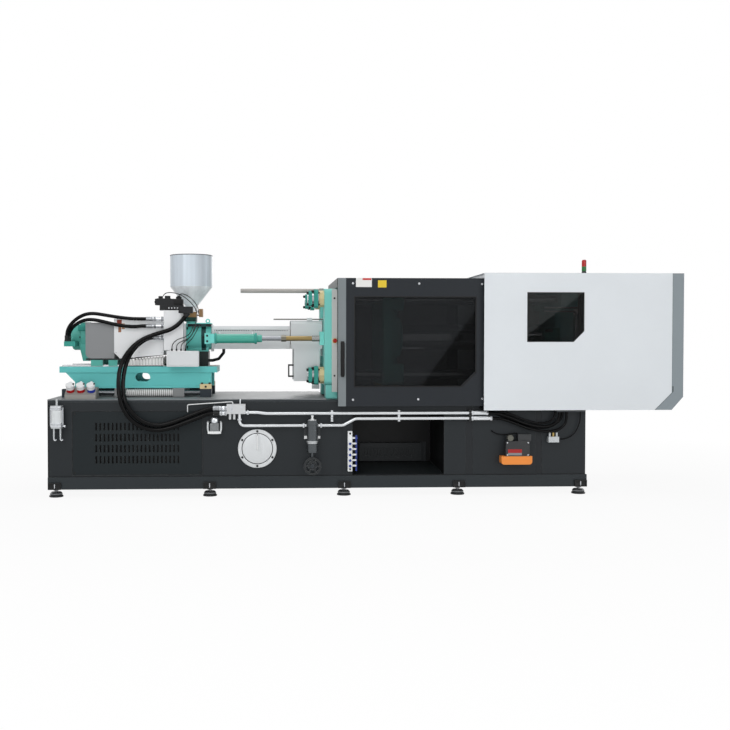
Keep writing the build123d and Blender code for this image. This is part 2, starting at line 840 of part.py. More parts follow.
def moving_platen():
    x0, x1 = moving_face_x, moving_back_x
    platen = platen_blank(x0, x1)
    platen -= tie_holes(x0 - 1, x1 + 1, running)
    rear = x0 + moving_plate_thickness
    platen -= platen_pockets(rear, x1 + 1)
    reach = platen_half_width + 1
    for side in (-1, 1):
        y_near, y_far = sorted((side * 200, side * reach))
        platen -= block(rear, x1 + 1, y_near, y_far, axis_z - tie_bar_z + 95, axis_z + tie_bar_z - 95)
    platen -= rod_x(x0 - 1, rear + 1, 0, axis_z, ejector_rod_radius + running)
    platen -= rod_x(rear, x1 + 1, 0, axis_z, ejector_radius + 5)
    platen -= mould_holes(x0, 1)
    return platen


def platen_shoes():
    """Bronze shoes under the moving platen, on the ways."""
    bottom = axis_z - platen_half_height
    shoe_z = base_top_z + way_height + seat_gap
    half = 35.0
    return group([block(moving_face_x + 5, moving_back_x - 5, side * way_y - half, side * way_y + half,
                        shoe_z, bottom) for side in (-1, 1)])


def platen_ways():
    half = way_width / 2
    return group([block(drop_left_x - 30, tail_face_x - 5, side * way_y - half, side * way_y + half,
                        base_top_z, base_top_z + way_height) for side in (-1, 1)])


def ejector():
    x0 = moving_back_x - ejector_plate - 5
    plate = rod_x(x0, x0 + ejector_plate, 0, axis_z, ejector_radius)
    return plate + rod_x(moving_face_x + 5, x0 + 1, 0, axis_z, ejector_rod_radius)


def clamp_ram():
    ram = rod_x(moving_back_x, tail_back_x + ram_engagement, 0, axis_z, ram_radius)
    flange = rod_x(moving_back_x, moving_back_x + 30, 0, axis_z, ram_radius + 35)
    return ram + flange


def tail_platen():
    platen = platen_blank(tail_face_x, tail_back_x)
    platen -= tie_holes(tail_face_x - 1, tail_back_x + 1, running)
    platen -= rod_x(tail_face_x - 1, tail_back_x + 1, 0, axis_z, ram_radius + running)
    reach = platen_half_width + 1
    for side in (-1, 1):
        y_near, y_far = sorted((side * 250, side * reach))
        platen -= block(tail_face_x - 1, tail_back_x + 1, y_near, y_far, axis_z - tie_bar_z + 85,
                        axis_z + tie_bar_z - 85)
    foot_z = axis_z - platen_half_height
    foot = [block(tail_face_x + 10, tail_back_x - 10, side * way_y - foot_half_width,
                  side * way_y + foot_half_width, base_top_z, foot_z + 1) for side in (-1, 1)]
    return platen + foot


def clamp_cylinder():
    x0, x1 = tail_back_x, tail_back_x + cylinder_length
    end = 40.0
    barrel = rod_x(x0, x1, 0, axis_z, cylinder_radius)
    flange = rod_x(x0, x0 + end, 0, axis_z, cylinder_radius + 35)
    cap = rod_x(x1 - end, x1, 0, axis_z, cylinder_radius + 20)
    bore = rod_x(x0 - 1, x1 - end, 0, axis_z, cylinder_radius - cylinder_wall)
    return barrel + flange + cap - bore


def clamp_valve_block():
    """Valve block on the front of the tail platen, with two screw recesses, and its foot."""
    x1 = tail_face_x
    body = block(x1 - 130, x1, -400, -300, 1281, 1382)
    body -= [rod_y(x1 - dx, -401, -385, 1360, 12) for dx in (108, 74)]
    foot = block(x1 - 60, x1, -420, -250, axis_z - tie_bar_z + 60, 1281)
    return group([body + foot])


def cowl_pipes():
    """Two bent steel pipes beside the tail platen, from the tie bar boss down to the deck."""
    pieces = []
    bend = 34.0
    for reach, rise, y in ((115, 215, -478), (145, 245, -500)):
        x, z = tail_face_x + reach, axis_z + rise
        start = (tail_face_x - tail_thickness, y, z)
        path = FilletPolyline(start, (x, y, z), (x, y, base_top_z), radius=bend)
        pieces.append(sweep(Plane(path @ 0, z_dir=path % 0) * Circle(8), path))
    return group(pieces)


# Guards


def guard_frame():
    m = guard_member
    y1 = guard_frame_y
    y0 = y1 - m
    top = gate_top_z
    x0, x1 = gate_left_x, base_right_x
    pieces = []
    for side in (-1, 1):
        ya, yb = sorted((side * y0, side * y1))
        pieces.append(block(x0, x1, ya, yb, top - m, top))
        for x in (x0, x1 - m):
            pieces.append(block(x, x + m, ya, yb, tray_top_z if x < tray_right_x else base_top_z, top - m))
    for x in (x0, x1 - m):
        pieces.append(block(x, x + m, -y0, y0, top - m, top))
    return group(pieces)


def guard_roof():
    roof = block(gate_left_x, cowl_left_x, -guard_frame_y, guard_frame_y, gate_top_z, gate_top_z + 3)
    end = block(gate_left_x - 3, gate_left_x, -guard_frame_y, guard_frame_y, gate_top_z - 70, gate_top_z + 3)
    return group([roof, end])


def gate_rails():
    pieces = []
    x1 = base_right_x
    for side in (-1, 1):
        ya, yb = sorted((side * guard_frame_y, side * (guard_frame_y + gate_rail_depth)))
        pieces.append(block(gate_left_x, x1, ya, yb, gate_rail_z, gate_rail_z + gate_rail_height))
        ya, yb = sorted((side * half_depth, side * (gate_inner_y - seat_gap)))
        pieces.append(block(gate_left_x, x1, ya, yb, gate_bottom_z + 8, gate_bottom_z + 28))
    return group(pieces)


def gate_panel():
    y0, y1 = -gate_outer_y, -gate_inner_y
    panel = block(gate_left_x, gate_right_x, y0, y1, gate_bottom_z, gate_top_z)
    x0, x1 = gate_left_x + window_left, gate_left_x + window_right
    z0, z1 = window_bottom_z, window_top_z
    c = window_chamfer
    panel -= plate_xz(cut_corner(x0, x1, z0, z1, c), y0 - 1, y1 + 1)
    r = gate_rail_height / 2
    shoes = []
    for x in (gate_left_x + 100, gate_right_x - 180):
        shoe = block(x, x + 80, y1, -guard_frame_y - 4, gate_rail_z - 10, gate_rail_z + 2 * r + 8)
        shoe -= block(x - 1, x + 81, -guard_frame_y - gate_rail_depth - seat_gap, -guard_frame_y + 1,
                      gate_rail_z - seat_gap, gate_rail_z + 2 * r + seat_gap)
        shoes.append(shoe)
    return panel + shoes


def gate_window():
    ym = -(gate_outer_y + gate_inner_y) / 2
    x0, x1 = gate_left_x + window_left, gate_left_x + window_right
    z0, z1 = window_bottom_z, window_top_z
    outline = cut_corner(x0, x1, z0, z1, window_chamfer)
    return plate_xz(outline, ym - window_thickness / 2, ym + window_thickness / 2)


def gate_handle():
    return bar_handle(gate_left_x + gate_handle_x, -gate_outer_y, gate_handle_z,
                      gate_handle_z + gate_handle_length, gate_handle_reach, gate_handle_radius)


def cowl_outline():
    """Side outline of the cowl sheets, left of the end cap."""
    return cut_corner(cowl_left_x, cowl_right_x - cowl_end_length, cowl_bottom_z, cowl_top_z, cowl_chamfer)


def cowl_front():
    y0 = -cowl_half_depth
    panel = plate_xz(cowl_outline(), y0, y0 + cowl_sheet)
    x0 = cowl_left_x + cowl_window_left
    x1 = x0 + cowl_window_length
    c = cowl_window_chamfer
    z0, z1 = cowl_window_bottom_z, cowl_window_top_z
    panel -= plate_xz(cut_corner(x0, x1, z0, z1, c), y0 - 1, y0 + cowl_sheet + 1)
    return panel


def cowl_window():
    y0 = -cowl_half_depth + cowl_sheet
    x0 = cowl_left_x + cowl_window_left - 12
    x1 = x0 + cowl_window_length + 24
    c = cowl_window_chamfer
    z0, z1 = cowl_window_bottom_z - 12, cowl_window_top_z + 12
    return plate_xz(cut_corner(x0, x1, z0, z1, c), y0, y0 + window_thickness)


def cowl_rear():
    return plate_xz(cowl_outline(), cowl_half_depth - cowl_sheet, cowl_half_depth)


def cowl_top():
    y = cowl_half_depth - cowl_sheet
    return block(cowl_left_x, cowl_right_x - cowl_end_length, -y, y, cowl_top_z - cowl_sheet, cowl_top_z)


def cowl_bearers():
    """Cross members over the guard frame that carry the cowl, and a floor sheet under its overhang."""
    y = cowl_half_depth - cowl_sheet
    z0, z1 = gate_top_z + 3, cowl_top_z - cowl_sheet
    places = (cowl_left_x + 10, base_right_x - guard_member)
    pieces = [block(x, x + guard_member, -y, y, z0, z1) for x in places]
    for x in places:
        pieces.extend(both_sides(block(x, x + guard_member, -guard_frame_y, -guard_frame_y + guard_member,
                                       gate_top_z, z0)))
    right = cowl_right_x - cowl_end_length - cowl_chamfer
    pieces.append(block(base_right_x + rail_proud, right, -y, y, cowl_bottom_z, cowl_bottom_z + cowl_sheet))
    return group(pieces)


def cowl_end():
    """End cap: a shell with a parallel chamfer below, open towards the cowl."""
    x0, x1 = cowl_right_x - cowl_end_length, cowl_right_x
    c = cowl_chamfer
    y = cowl_half_depth
    zb, zt = cowl_bottom_z, cowl_top_z
    end_z = zb + cowl_end_length + 12
    outer = [(x0 - c, zb), (x0, zb), (x1, end_z), (x1, zt), (x0, zt), (x0, zb + c)]
    w = cowl_sheet
    inner = [(x0 - c - w, zb + w), (x0 - w, zb + w), (x1 - w, end_z + w), (x1 - w, zt - w), (x0 - c, zt - w)]
    shell = plate_xz(outer, -y, y)
    return shell - plate_xz(inner, -y + w, y - w)


def beacon():
    x, y, r = cowl_right_x - 705, -300.0, 20.0
    z = cowl_top_z
    profile = ((0, 0), (r * 1.2, 0), (r * 1.2, 6), (r, 8), (r, 36), (r * 0.9, 38), (r * 0.9, 41), (r, 43),
               (r, 132), (r * 0.7, 140), (0, 140))
    return turned(profile, Pos(x, y, z))


# Injection unit


def unit_rods():
    left, right = rear_support_x, front_support_x + support_length
    return group([rod_x(left, right, side * unit_rod_y, unit_rod_z, unit_rod_radius) for side in (-1, 1)])


def unit_supports():
    pieces = []
    for x in (rear_support_x, front_support_x):
        for side in (-1, 1):
            y = side * unit_rod_y
            x1 = x + support_length
            post = block(x, x1, y - 42, y + 42, tray_top_z, beam_bottom_z - 5)
            pieces.append(post - rod_x(x - 1, x1 + 1, y, unit_rod_z, unit_rod_radius + running))
    return group(pieces)


def beam_keepers():
    """Cream guide blocks beside the beam's lower flange, on the front supports."""
    x = front_support_x
    pieces = []
    for side in (-1, 1):
        ya, yb = sorted((side * (beam_half_width + seat_gap), side * (unit_rod_y + 42)))
        pieces.append(block(x, x + support_length, ya, yb, beam_bottom_z - 5, beam_bottom_z + 35))
    return group(pieces)


def bearing_blocks():
    pieces = []
    for x in (rear_slider_x, front_slider_x):
        for side in (-1, 1):
            y = side * unit_rod_y
            ya, yb = sorted((side * (beam_half_width - 70), side * (unit_rod_y + 36)))
            x1 = x + slider_length
            body = block(x, x1, ya, yb, tray_top_z + 3, beam_bottom_z)
            pieces.append(body - rod_x(x - 1, x1 + 1, y, unit_rod_z, unit_rod_radius + running))
    return group(pieces)


def rod_covers():
    """Ribbed sleeves over the guide rods, between the bearing blocks."""
    x0, x1 = rear_slider_x + slider_length, front_slider_x
    folds = 24
    pitch = (x1 - x0) / folds
    inner, outer = unit_rod_radius + 2, unit_rod_radius + 10
    points = [(inner, 0)]
    for i in range(folds):
        points.append((inner + 4, i * pitch))
        points.append((outer, (i + 0.5) * pitch))
    points.extend([(inner + 4, x1 - x0), (inner, x1 - x0)])
    return group([turned(points, Pos(x0, side * unit_rod_y, unit_rod_z) * Rot(0, 90, 0))
                  for side in (-1, 1)])


def carriage_beam():
    """Channel beam: top plate, two webs with lower flanges, and a long hole through both webs."""
    h, w = beam_half_width, beam_web
    z0, z1, z2 = beam_bottom_z, beam_top_z - beam_flange, beam_top_z
    low = z0 + 22
    web = h - 10
    section = [(-h, z2), (-h, z1), (-web, z1), (-web, low), (-h, low), (-h, z0), (-web + w + 30, z0),
               (-web + w + 30, low), (-web + w, low), (-web + w, z1)]
    section += [(-y, z) for y, z in reversed(section)]
    body_left, body_right = beam_left_x + 53, beam_right_x - 47
    beam = plate_yz(section, body_left, body_right)
    beam += block(beam_left_x, beam_right_x, -h, h, z1, z2)
    slant = plate_xz([(body_left - 1, z0 - 1), (body_left + 75, z0 - 1), (body_left + 75, z0 + 52),
                      (body_left - 1, z1 - 1)], -h - 1, h + 1)
    beam -= slant
    hole_x, hole_z = -1873.5, 965.0
    slot = Plane(origin=(hole_x, h + 1, hole_z), x_dir=(1, 0, 0), z_dir=(0, -1, 0)) * SlotOverall(125, 70)
    beam -= extrude(slot, 2 * h + 2)
    return beam


def barrel_conduit():
    """Bent sleeve for the heater leads, from the barrel guard down to the seat's foot."""
    foot_x = seat_right_x - 25
    points = [(-1192, -150, barrel_guard_bottom_z), (-1192, -150, 1172), (-1236, -122, 1118),
              (foot_x + 36, -100, 1104), (foot_x, -100, 1104)]
    path = FilletPolyline(*points, radius=18)
    return sweep(Plane(path @ 0, z_dir=path % 0) * Circle(13), path)


def drive_ways():
    x0, x1 = beam_left_x + 20, seat_left_x - front_plate - 170
    half = way_rail_width / 2
    return group([block(x0, x1, side * way_rail_y - half, side * way_rail_y + half, beam_top_z,
                        beam_top_z + way_rail_height) for side in (-1, 1)])


def drive_shoes():
    pieces = []
    z0 = beam_top_z + 4
    z1 = beam_top_z + way_rail_height + shoe_height
    slot = way_rail_width / 2 + seat_gap
    for x, length in ((-2309.0, 100.0), (-2162.0, 75.0)):
        for side in (-1, 1):
            y = side * way_rail_y
            shoe = block(x, x + length, y - 25, y + 25, z0, z1)
            shoe -= block(x - 1, x + length + 1, y - slot, y + slot, z0 - 1,
                          beam_top_z + way_rail_height + seat_gap)
            pieces.append(shoe)
    sole = block(drive_cover_x, -2020, -way_rail_y - 25, way_rail_y + 25, z1, drive_bottom_z)
    return group(pieces + [sole])


def drive_cover():
    """Grey gearbox cover with a large lower-left round."""
    x0, x1 = drive_cover_x, drive_cover_x + drive_cover_length
    body = block(x0, x1, -beam_half_width, beam_half_width, drive_bottom_z, drive_cover_top_z)
    corner = body.edges().filter_by(Axis.Y).group_by(Axis.Z)[0].sort_by(Axis.X)[0]
    cover = fillet(corner, 45)
    return cover - rod_x(x1 - spindle_depth, x1 + 1, 0, axis_z, spindle_radius + running)


def drive_motor():
    """Hydraulic motor with its flange, foot and port block."""
    x0, x1 = motor_left_x, drive_cover_x
    shell = turned(((0, 0), (motor_radius * 0.55, 0), (motor_radius * 0.62, 12), (motor_radius * 0.8, 18),
                    (motor_radius * 0.86, 30), (motor_radius * 0.86, 95), (motor_radius, 100),
                    (motor_radius, x1 - x0), (0, x1 - x0)), Pos(x0, 0, axis_z) * Rot(0, 90, 0))
    foot = plate_xz([(x1 - 86, axis_z - 40), (x1 - 48, 1100), (x1, 1100), (x1, axis_z - 40)], -115, 115)
    port = block(x0 - 14, x0 + 80, -264, -95, motor_port_z - 42, motor_port_z)
    return group([shell + foot + port])


def drive_panels():
    """Sheet hood right of the gearbox: two sides with a lower chamfer and a top."""
    x0, x1 = drive_panel_x, drive_panel_end_x
    z0, z1 = drive_bottom_z, drive_panel_top_z
    y = drive_panel_y
    side = [(x0, z0 + 48), (x0 + 50, z0), (x1, z0 + drive_panel_rise), (x1, z1), (x0, z1)]
    front = plate_xz(side, -y, -y + 5)
    rear = plate_xz(side, y - 5, y)
    top = block(x0, x1 - 40, -y + 5, y - 5, z1 - 5, z1)
    end = block(x0, x0 + 12, -y + 5, y - 5, z0 + 48, z1 - 5)
    end -= [rod_x(x0 - 1, x0 + 13, side_y, axis_z, injection_rod_radius + 2) for side_y in
            (-injection_cylinder_y, injection_cylinder_y)]
    end -= rod_x(x0 - 1, x0 + 13, 0, axis_z, 42)
    return front + rear + top + end


def injection_cylinders():
    x0, x1 = -1950.0, seat_left_x - front_plate
    pieces = []
    for side in (-1, 1):
        y = side * injection_cylinder_y
        body = rod_x(x0, x1, y, axis_z, injection_cylinder_radius)
        body -= rod_x(x0 + 30, x1 - 30, y, axis_z, injection_cylinder_radius - 12)
        body -= rod_x(x0 - 1, x0 + 31, y, axis_z, injection_rod_radius + running)
        pieces.append(body)
    return group(pieces)


def injection_rods():
    pieces = []
    x0, x1 = drive_cover_x + drive_cover_length, -1640.0
    for side in (-1, 1):
        y = side * injection_cylinder_y
        rod = rod_x(x0, x1, y, axis_z, injection_rod_radius)
        piston = rod_x(x1 - 24, x1, y, axis_z, injection_cylinder_radius - 12 - running)
        pieces.append(rod + piston)
    return group(pieces)


def way_bellows():
    """Folded covers over the drive ways."""
    x0, x1 = -1998.0, seat_left_x - front_plate - 175
    folds = 16
    pitch = (x1 - x0) / folds
    pieces = []
    for side in (-1, 1):
        y = side * way_rail_y
        low = beam_top_z
        points = [(x0, low + way_rail_height + 3)]
        for i in range(folds):
            points.append((x0 + i * pitch, low + 52))
            points.append((x0 + (i + 0.5) * pitch, low + 66))
        points.append((x1, low + 52))
        points.append((x1, low + way_rail_height + 3))
        top = plate_xz(points, y - 28, y + 28)
        skirts = [block(x0, x1, ya, ya + 10, low + seat_gap, low + way_rail_height + 3)
                  for ya in (y - 28, y + 18)]
        pieces.append(top + skirts)
    return group(pieces)


def barrel_seat():
    """Round seat on its pedestal, front plate, arms for the traverse cylinders, and the bar on top."""
    x0, x1 = seat_left_x, seat_right_x
    seat = rod_x(x0, x1, 0, axis_z, seat_radius)
    plate = block(x0 - front_plate, x0, -250, 250, beam_top_z, axis_z + 115)
    pedestal = block(x0, x1 - 25, -120, 120, beam_top_z, axis_z - seat_radius - 15)
    pedestal += block(x0, x1 - 25, -60, 60, beam_top_z, axis_z)
    neck = rod_z(hopper_x, 0, axis_z, slide_body_z, 46)
    band = rod_x(x1 - 84, x1 - 50, 0, axis_z, seat_radius + 3)
    bore = rod_x(x0 - front_plate - 1, x1 + 1, 0, axis_z, barrel_radius + running)
    y, z, arm, ear = traverse_y, traverse_z, 45.0, 40.0
    yoke = block(x1 - 44, x1, -y - arm, -seat_radius / 2, z - arm, z + arm) - [seat, pedestal]
    yoke += block(x1, traverse_left_x, -y - ear, -y + ear, z - ear, z + ear)
    top_z = axis_z + seat_radius
    bar = block(x0, x1, -105, 105, top_z - 20, top_z + 14) - [seat, band, neck]
    eye_x, eye_z = x1 - 30, top_z + 30
    bar += rod_y(eye_x, -96, -84, eye_z, 20) - rod_y(eye_x, -97, -83, eye_z, 10)
    casting = seat + pedestal + neck + band - bore
    casting -= rod_z(hopper_x, 0, axis_z, slide_body_z + 1, throat_radius)
    return group([casting, plate - bore, *both_sides(yoke), bar])


def barrel():
    x0 = seat_left_x - front_plate
    tube = rod_x(x0, barrel_end_x, 0, axis_z, barrel_radius)
    tube -= rod_x(x0 - 1, barrel_end_x + 1, 0, axis_z, bore_radius)
    tube -= rod_z(hopper_x, 0, axis_z, axis_z + barrel_radius + 5, throat_radius)
    return tube


def heater_bands():
    x0 = barrel_guard_x + 30
    count = 6
    length = 100.0
    pitch = (barrel_end_x - 20 - x0) / count
    bands = []
    for i in range(count):
        x = x0 + i * pitch
        bands.append(rod_x(x, x + length, 0, axis_z, band_radius)
                     - rod_x(x - 1, x + length + 1, 0, axis_z, barrel_radius + running))
    return group(bands)


def nozzle():
    length = nozzle_tip_x - barrel_end_x
    tip = 14.0
    profile = ((3, 12), (3, length), (tip, length), (tip + 6, length - 8), (nozzle_radius, length - 60),
               (nozzle_radius, 34), (barrel_radius, 30), (barrel_radius, 0), (bore_radius, 0))
    return turned(profile, Pos(barrel_end_x, 0, axis_z) * Rot(0, 90, 0))


def screw():
    """Plasticizing screw: splined shank, feed and metering roots, check ring and tip."""
    x0 = drive_cover_x + drive_cover_length - spindle_depth + seat_gap
    end = barrel_end_x - 12
    length = end - x0
    feed = seat_left_x - x0
    journal = bore_radius - running * 2
    profile = ((0, 0), (spindle_radius, 0), (spindle_radius, feed - 160), (journal, feed - 150),
               (journal, feed - 12), (15, feed - 4), (15, feed + 500), (20, length - 130), (20, length - 60),
               (12, length - 52), (12, length - 40), (23, length - 38), (0, length))
    return turned(profile, Pos(x0, 0, axis_z) * Rot(0, 90, 0))


def hopper():
    """Turned steel hopper: cylinder, cone, neck and base flange."""
    r, w, n = hopper_radius, hopper_wall, hopper_neck_radius
    z0 = slide_body_z + slide_body_height
    rim, seam, neck = hopper_top_z, hopper_cylinder_z, hopper_neck_z
    flange = 12.0
    cone = ((throat_radius, z0), (n + flange, z0), (n + flange, z0 + flange), (n, z0 + flange), (n, neck),
            (r, seam), (r - w, seam), (n - 3 * w, neck), (throat_radius, neck - flange))
    cylinder = ((r - w, seam), (r, seam), (r, rim), (r - w, rim))
    return group([turned(profile, Pos(hopper_x, 0, 0)) for profile in (cone, cylinder)])


def hopper_lid():
    r = hopper_radius
    profile = ((0, 0), (r + 3, 0), (r + 3, lid_thickness), (0, lid_thickness + 2))
    return turned(profile, Pos(hopper_x, 0, hopper_top_z))


def throat_block():
    """Slide body between the seat's neck and the hopper, with a slot for the shut-off plate."""
    z0, z1 = slide_body_z, slide_body_z + slide_body_height
    body = block(hopper_x - 57, hopper_x + 47, -60, 60, z0, z1)
    body -= rod_z(hopper_x, 0, z0 - 1, z1 + 1, throat_radius)
    slot_z = z0 + 50
    body -= block(hopper_x - 45, hopper_x + 48, -42, 42, slot_z, slot_z + slide_plate + 2 * seat_gap)
    return body


def shutoff_slide():
    z0 = slide_body_z + 50 + seat_gap
    plate = block(hopper_x - 42, hopper_x + 60, -41.7, 41.7, z0, z0 + slide_plate)
    plate -= rod_z(hopper_x, 0, z0 - 1, z0 + slide_plate + 1, throat_radius)
    grip = block(hopper_x + 60, hopper_x + 68, -30, 30, z0, z0 + slide_plate)
    grip += block(hopper_x + 68, hopper_x + 100, -45, 45, z0 - 10, z0 + 60)
    return plate + grip


def folded_hood(x0, x1, y, z0, z1):
    """A sheet folded over the barrel, open below and at both ends."""
    w, c = hood_sheet, hood_chamfer
    top, edge = z1 - w, z1 - c - w / 2
    outer = [(-y, z0), (-y, z1 - c), (-y + c, z1), (y - c, z1), (y, z1 - c), (y, z0)]
    inner = [(y - w, z0), (y - w, edge), (y - c - w / 2, top), (-y + c + w / 2, top), (-y + w, edge),
             (-y + w, z0)]
    return plate_yz(outer + inner, x0, x1)


def barrel_guard():
    """Guard round the heated barrel, with its back plate."""
    x0, x1 = barrel_guard_x, barrel_guard_x + barrel_guard_length
    y, z0, z1 = barrel_guard_y, barrel_guard_bottom_z, barrel_guard_top_z
    hood = folded_hood(x0, x1, y, z0, z1)
    plate = block(x0 - 4, x0, -y - 2, y + 2, 1181, z1 + 9)
    plate -= rod_x(x0 - 5, x0 + 1, 0, axis_z, band_radius + 4)
    feet = block(x0 - 10, x0 - 4, -y, y, 1181, 1200)
    return hood + plate + feet


def purge_guard():
    """Sliding guard over the nozzle with a lower front panel, hung on a rail."""
    x0, x1 = purge_x, purge_x + purge_length
    y, z0, z1 = purge_y, barrel_guard_bottom_z, purge_top_z
    w = hood_sheet
    hood = folded_hood(x0, x1, y, z0, z1)
    lower = block(x0 + 24, x1 - 23, -y, -y + w, purge_panel_bottom_z, z0)
    rear = block(x0 + 24, x1 - 23, y - w, y, purge_panel_bottom_z, z0)
    rail_y, rail_z = -y + 22, z1 + 12
    hanger = block(x0 + 139, x0 + 185, rail_y - 12, rail_y + 12, z1, z1 + 24)
    hanger -= rod_x(x0 + 138, x0 + 186, rail_y, rail_z, guard_rail_radius + running)
    return hood + lower + rear + hanger


def guard_rail():
    y, z = -purge_y + 22, purge_top_z + 12
    return rod_x(platen_back_x - guard_rail_length, platen_back_x, y, z, guard_rail_radius)


def purge_handle():
    x0 = purge_x + 24
    outer = block(x0 - 48, x0, -purge_y - 2, -purge_y + 10, 962, 1072)
    return outer - block(x0 - 36, x0 + 1, -purge_y - 3, -purge_y + 11, 976, 1058)


def hose_bar():
    """Round bar at the rear for hoses and leads, held by a bracket on top of the platen."""
    z = axis_z + platen_half_height + 20
    bar = rod_x(platen_back_x - 720, platen_back_x + 40, 400, z, 20)
    bracket = block(platen_back_x, platen_back_x + 40, 370, 430, axis_z + platen_half_height, z + 22)
    return bar + bracket


def traverse_cylinders():
    pieces = []
    for side in (-1, 1):
        y = side * traverse_y
        x0, x1 = traverse_left_x, traverse_right_x
        body = rod_x(x0, x1, y, traverse_z, traverse_radius)
        gland = rod_x(x1, x1 + 44, y, traverse_z, traverse_radius * 0.8)
        body = body + gland
        body -= rod_x(x0 + 20, x1 - 5, y, traverse_z, traverse_bore)
        body -= rod_x(x1 - 6, x1 + 45, y, traverse_z, traverse_rod_radius + running)
        pieces.append(body)
    return group(pieces)


def traverse_rods():
    """Piston rods, fixed to the platen lugs: piston, chrome rod, nut, coupling rod and clevis."""
    pieces = []
    end = platen_back_x
    for side in (-1, 1):
        y = side * traverse_y
        x0 = traverse_left_x + 58
        rod = rod_x(x0, end - 1, y, traverse_z, traverse_rod_radius)
        piston = rod_x(x0, x0 + 20, y, traverse_z, traverse_bore - running)
        nut = Pos(end - 360, y, traverse_z) * Rot(0, 90, 0) * extrude(RegularPolygon(27, 6), 41)
        sleeve = rod_x(end - 319, end - 100, y, traverse_z, 21)
        clevis = rod_x(end - 100, end - 35, y, traverse_z, 26)
        pieces.append(rod + piston + nut + sleeve + clevis)
    return group(pieces)


def oil_block():
    """Manifold beside the front plate, with side ports and hose fittings."""
    x0, x1 = drive_panel_end_x + 7, seat_left_x - front_plate
    body = block(x0, x1, -oil_block_y, -oil_block_y + 104, 1192, 1530)
    main = rod_x(x0 - main_port_reach, x0, -298, 1303, 19)
    small = [rod_x(x0 - motor_port_reach, x0, -298, z, 14) for z in (1458, 1398)]
    junction = block(x1 - 34, x1 + 86, -oil_block_y - 54, -oil_block_y, 1505, 1560)
    outlet = Plane(origin=outer_hose_start, z_dir=(34, 0, 40)) * Cylinder(
        18, 40, align=(Align.CENTER, Align.CENTER, Align.MIN))
    return body + main + small + junction + outlet


def valve_stack():
    x0, x1, z0 = -1764.0, seat_left_x - front_plate, 1530.0
    lower = block(x0 + 40, x1, -300, -218, z0, z0 + 45)
    upper = block(x0, x1 - 40, -290, -200, z0 + 45, z0 + 98)
    coil = rod_z(-1662, -245, z0 + 98, z0 + 124, 24)
    return group([lower + upper + coil])


def terminal_box():
    x0, x1 = -1663.0, -1394.0
    box = block(x0, x1, -345, -255, beam_top_z, 1188)
    glands = [rod_z(x0 + 44 + 38 * i, -332, 1188, 1206, 7) for i in range(4)]
    return group([fillet(box.edges().filter_by(Axis.Y), 8) + glands])


def motor_hoses():
    """Two hoses from the motor's port block, over the gearbox cover, to the block on the carriage."""
    outer = [(-2512, -238, motor_port_z), (-2512, -238, 1318), (-2504, -243, 1364), (-2480, -249, 1408),
             (-2442, -257, 1446), (-2394, -268, 1478), (-2338, -280, 1500), (-2272, -289, 1504),
             (-2200, -292, 1493), (-2118, -294, 1479), (-2035, -296, 1467), (-1955, -298, 1459),
             (-1880, -298, 1458), (-1806, -298, 1458)]
    inner = [(-2504, -192, motor_port_z), (-2504, -192, 1312), (-2494, -200, 1352), (-2466, -214, 1390),
             (-2422, -238, 1421), (-2374, -264, 1443), (-2318, -284, 1453), (-2255, -292, 1448),
             (-2180, -294, 1431), (-2100, -296, 1411), (-2015, -298, 1396), (-1935, -298, 1391),
             (-1868, -298, 1398), (-1806, -298, 1398)]
    return hose(outer, 15), hose(inner, 15)


def main_hoses():
    """Supply hoses from the block on the carriage, in a loop down to the manifold on the base."""
    outer = [outer_hose_start, (-1537, -345, 1438), (-1580, -348, 1397), (-1634, -351, 1364),
             (-1697, -352, 1346), (-1765, -353, 1325), (-1842, -354, 1296),
             (-1914, -363, 1251), (-1978, -387, 1183), (-2018, -435, 1107), (-2033, -505, 1025),
             (-2031, -580, 945), (-2021, -640, 865), (-2003, -664, 782), (-1973, -664, 705),
             (-1924, -664, 641), (-1864, -664, 592), (-1785, -664, 559), (-1700, -664, 549),
             (-1611, -665, 566), (-1521, -669, 598), (-1424, -671, 634), (-1345, -669, 665),
             (-1290, -660, 686), (-1232, -660, 686)]
    inner = [(-1746, -298, 1303), (-1800, -298, 1303), (-1857, -303, 1276), (-1915, -318, 1230),
             (-1962, -350, 1167), (-1990, -400, 1091), (-2001, -470, 1009), (-1999, -552, 928),
             (-1987, -622, 856), (-1966, -660, 783), (-1934, -664, 720), (-1886, -664, 663),
             (-1825, -664, 618), (-1752, -664, 592), (-1675, -664, 590), (-1589, -664, 612),
             (-1499, -662, 645), (-1410, -661, 680), (-1330, -660, 711), (-1280, -660, 726),
             (-1232, -660, 726)]
    return hose(outer, 17), hose(inner, 17)


# Pump unit inside the base


def pump_motor():
    y, z = pump_y, pump_z
    x0, x1 = pump_motor_x, pump_motor_x + pump_motor_length
    body = rod_x(x0, x1, y, z, 150)
    flange = rod_x(x1, x1 + pump_motor_flange, y, z, 170)
    shaft = rod_x(x1 + pump_motor_flange, pump_shaft_x, y, z, pump_shaft_radius)
    feet = block(x0 + 40, x1 - 40, y - 120, y + 120, rail_top_z + pump_bed, z - 100)
    return group([body + flange + shaft + feet])


def pump():
    y, z = pump_y, pump_z
    body = rod_x(pump_x, pump_x + pump_length, y, z, 80)
    shaft = rod_x(pump_x - pump_shaft_reach, pump_x, y, z, pump_shaft_radius)
    foot = block(pump_x + 20, pump_x + pump_length - 20, y - 60, y + 60, rail_top_z + pump_bed, z - 40)
    return group([body + shaft + foot])


def pump_coupling():
    y, z = pump_y, pump_z
    x0, x1 = pump_shaft_x - coupling_grip, pump_shaft_x + pump_shaft_gap + coupling_grip
    return rod_x(x0, x1, y, z, 45) - rod_x(x0 - 1, x1 + 1, y, z, pump_shaft_radius + running)


main_hose_pair = main_hoses()
motor_hose_pair = motor_hoses()
clamp_hose_pair = clamp_hoses()

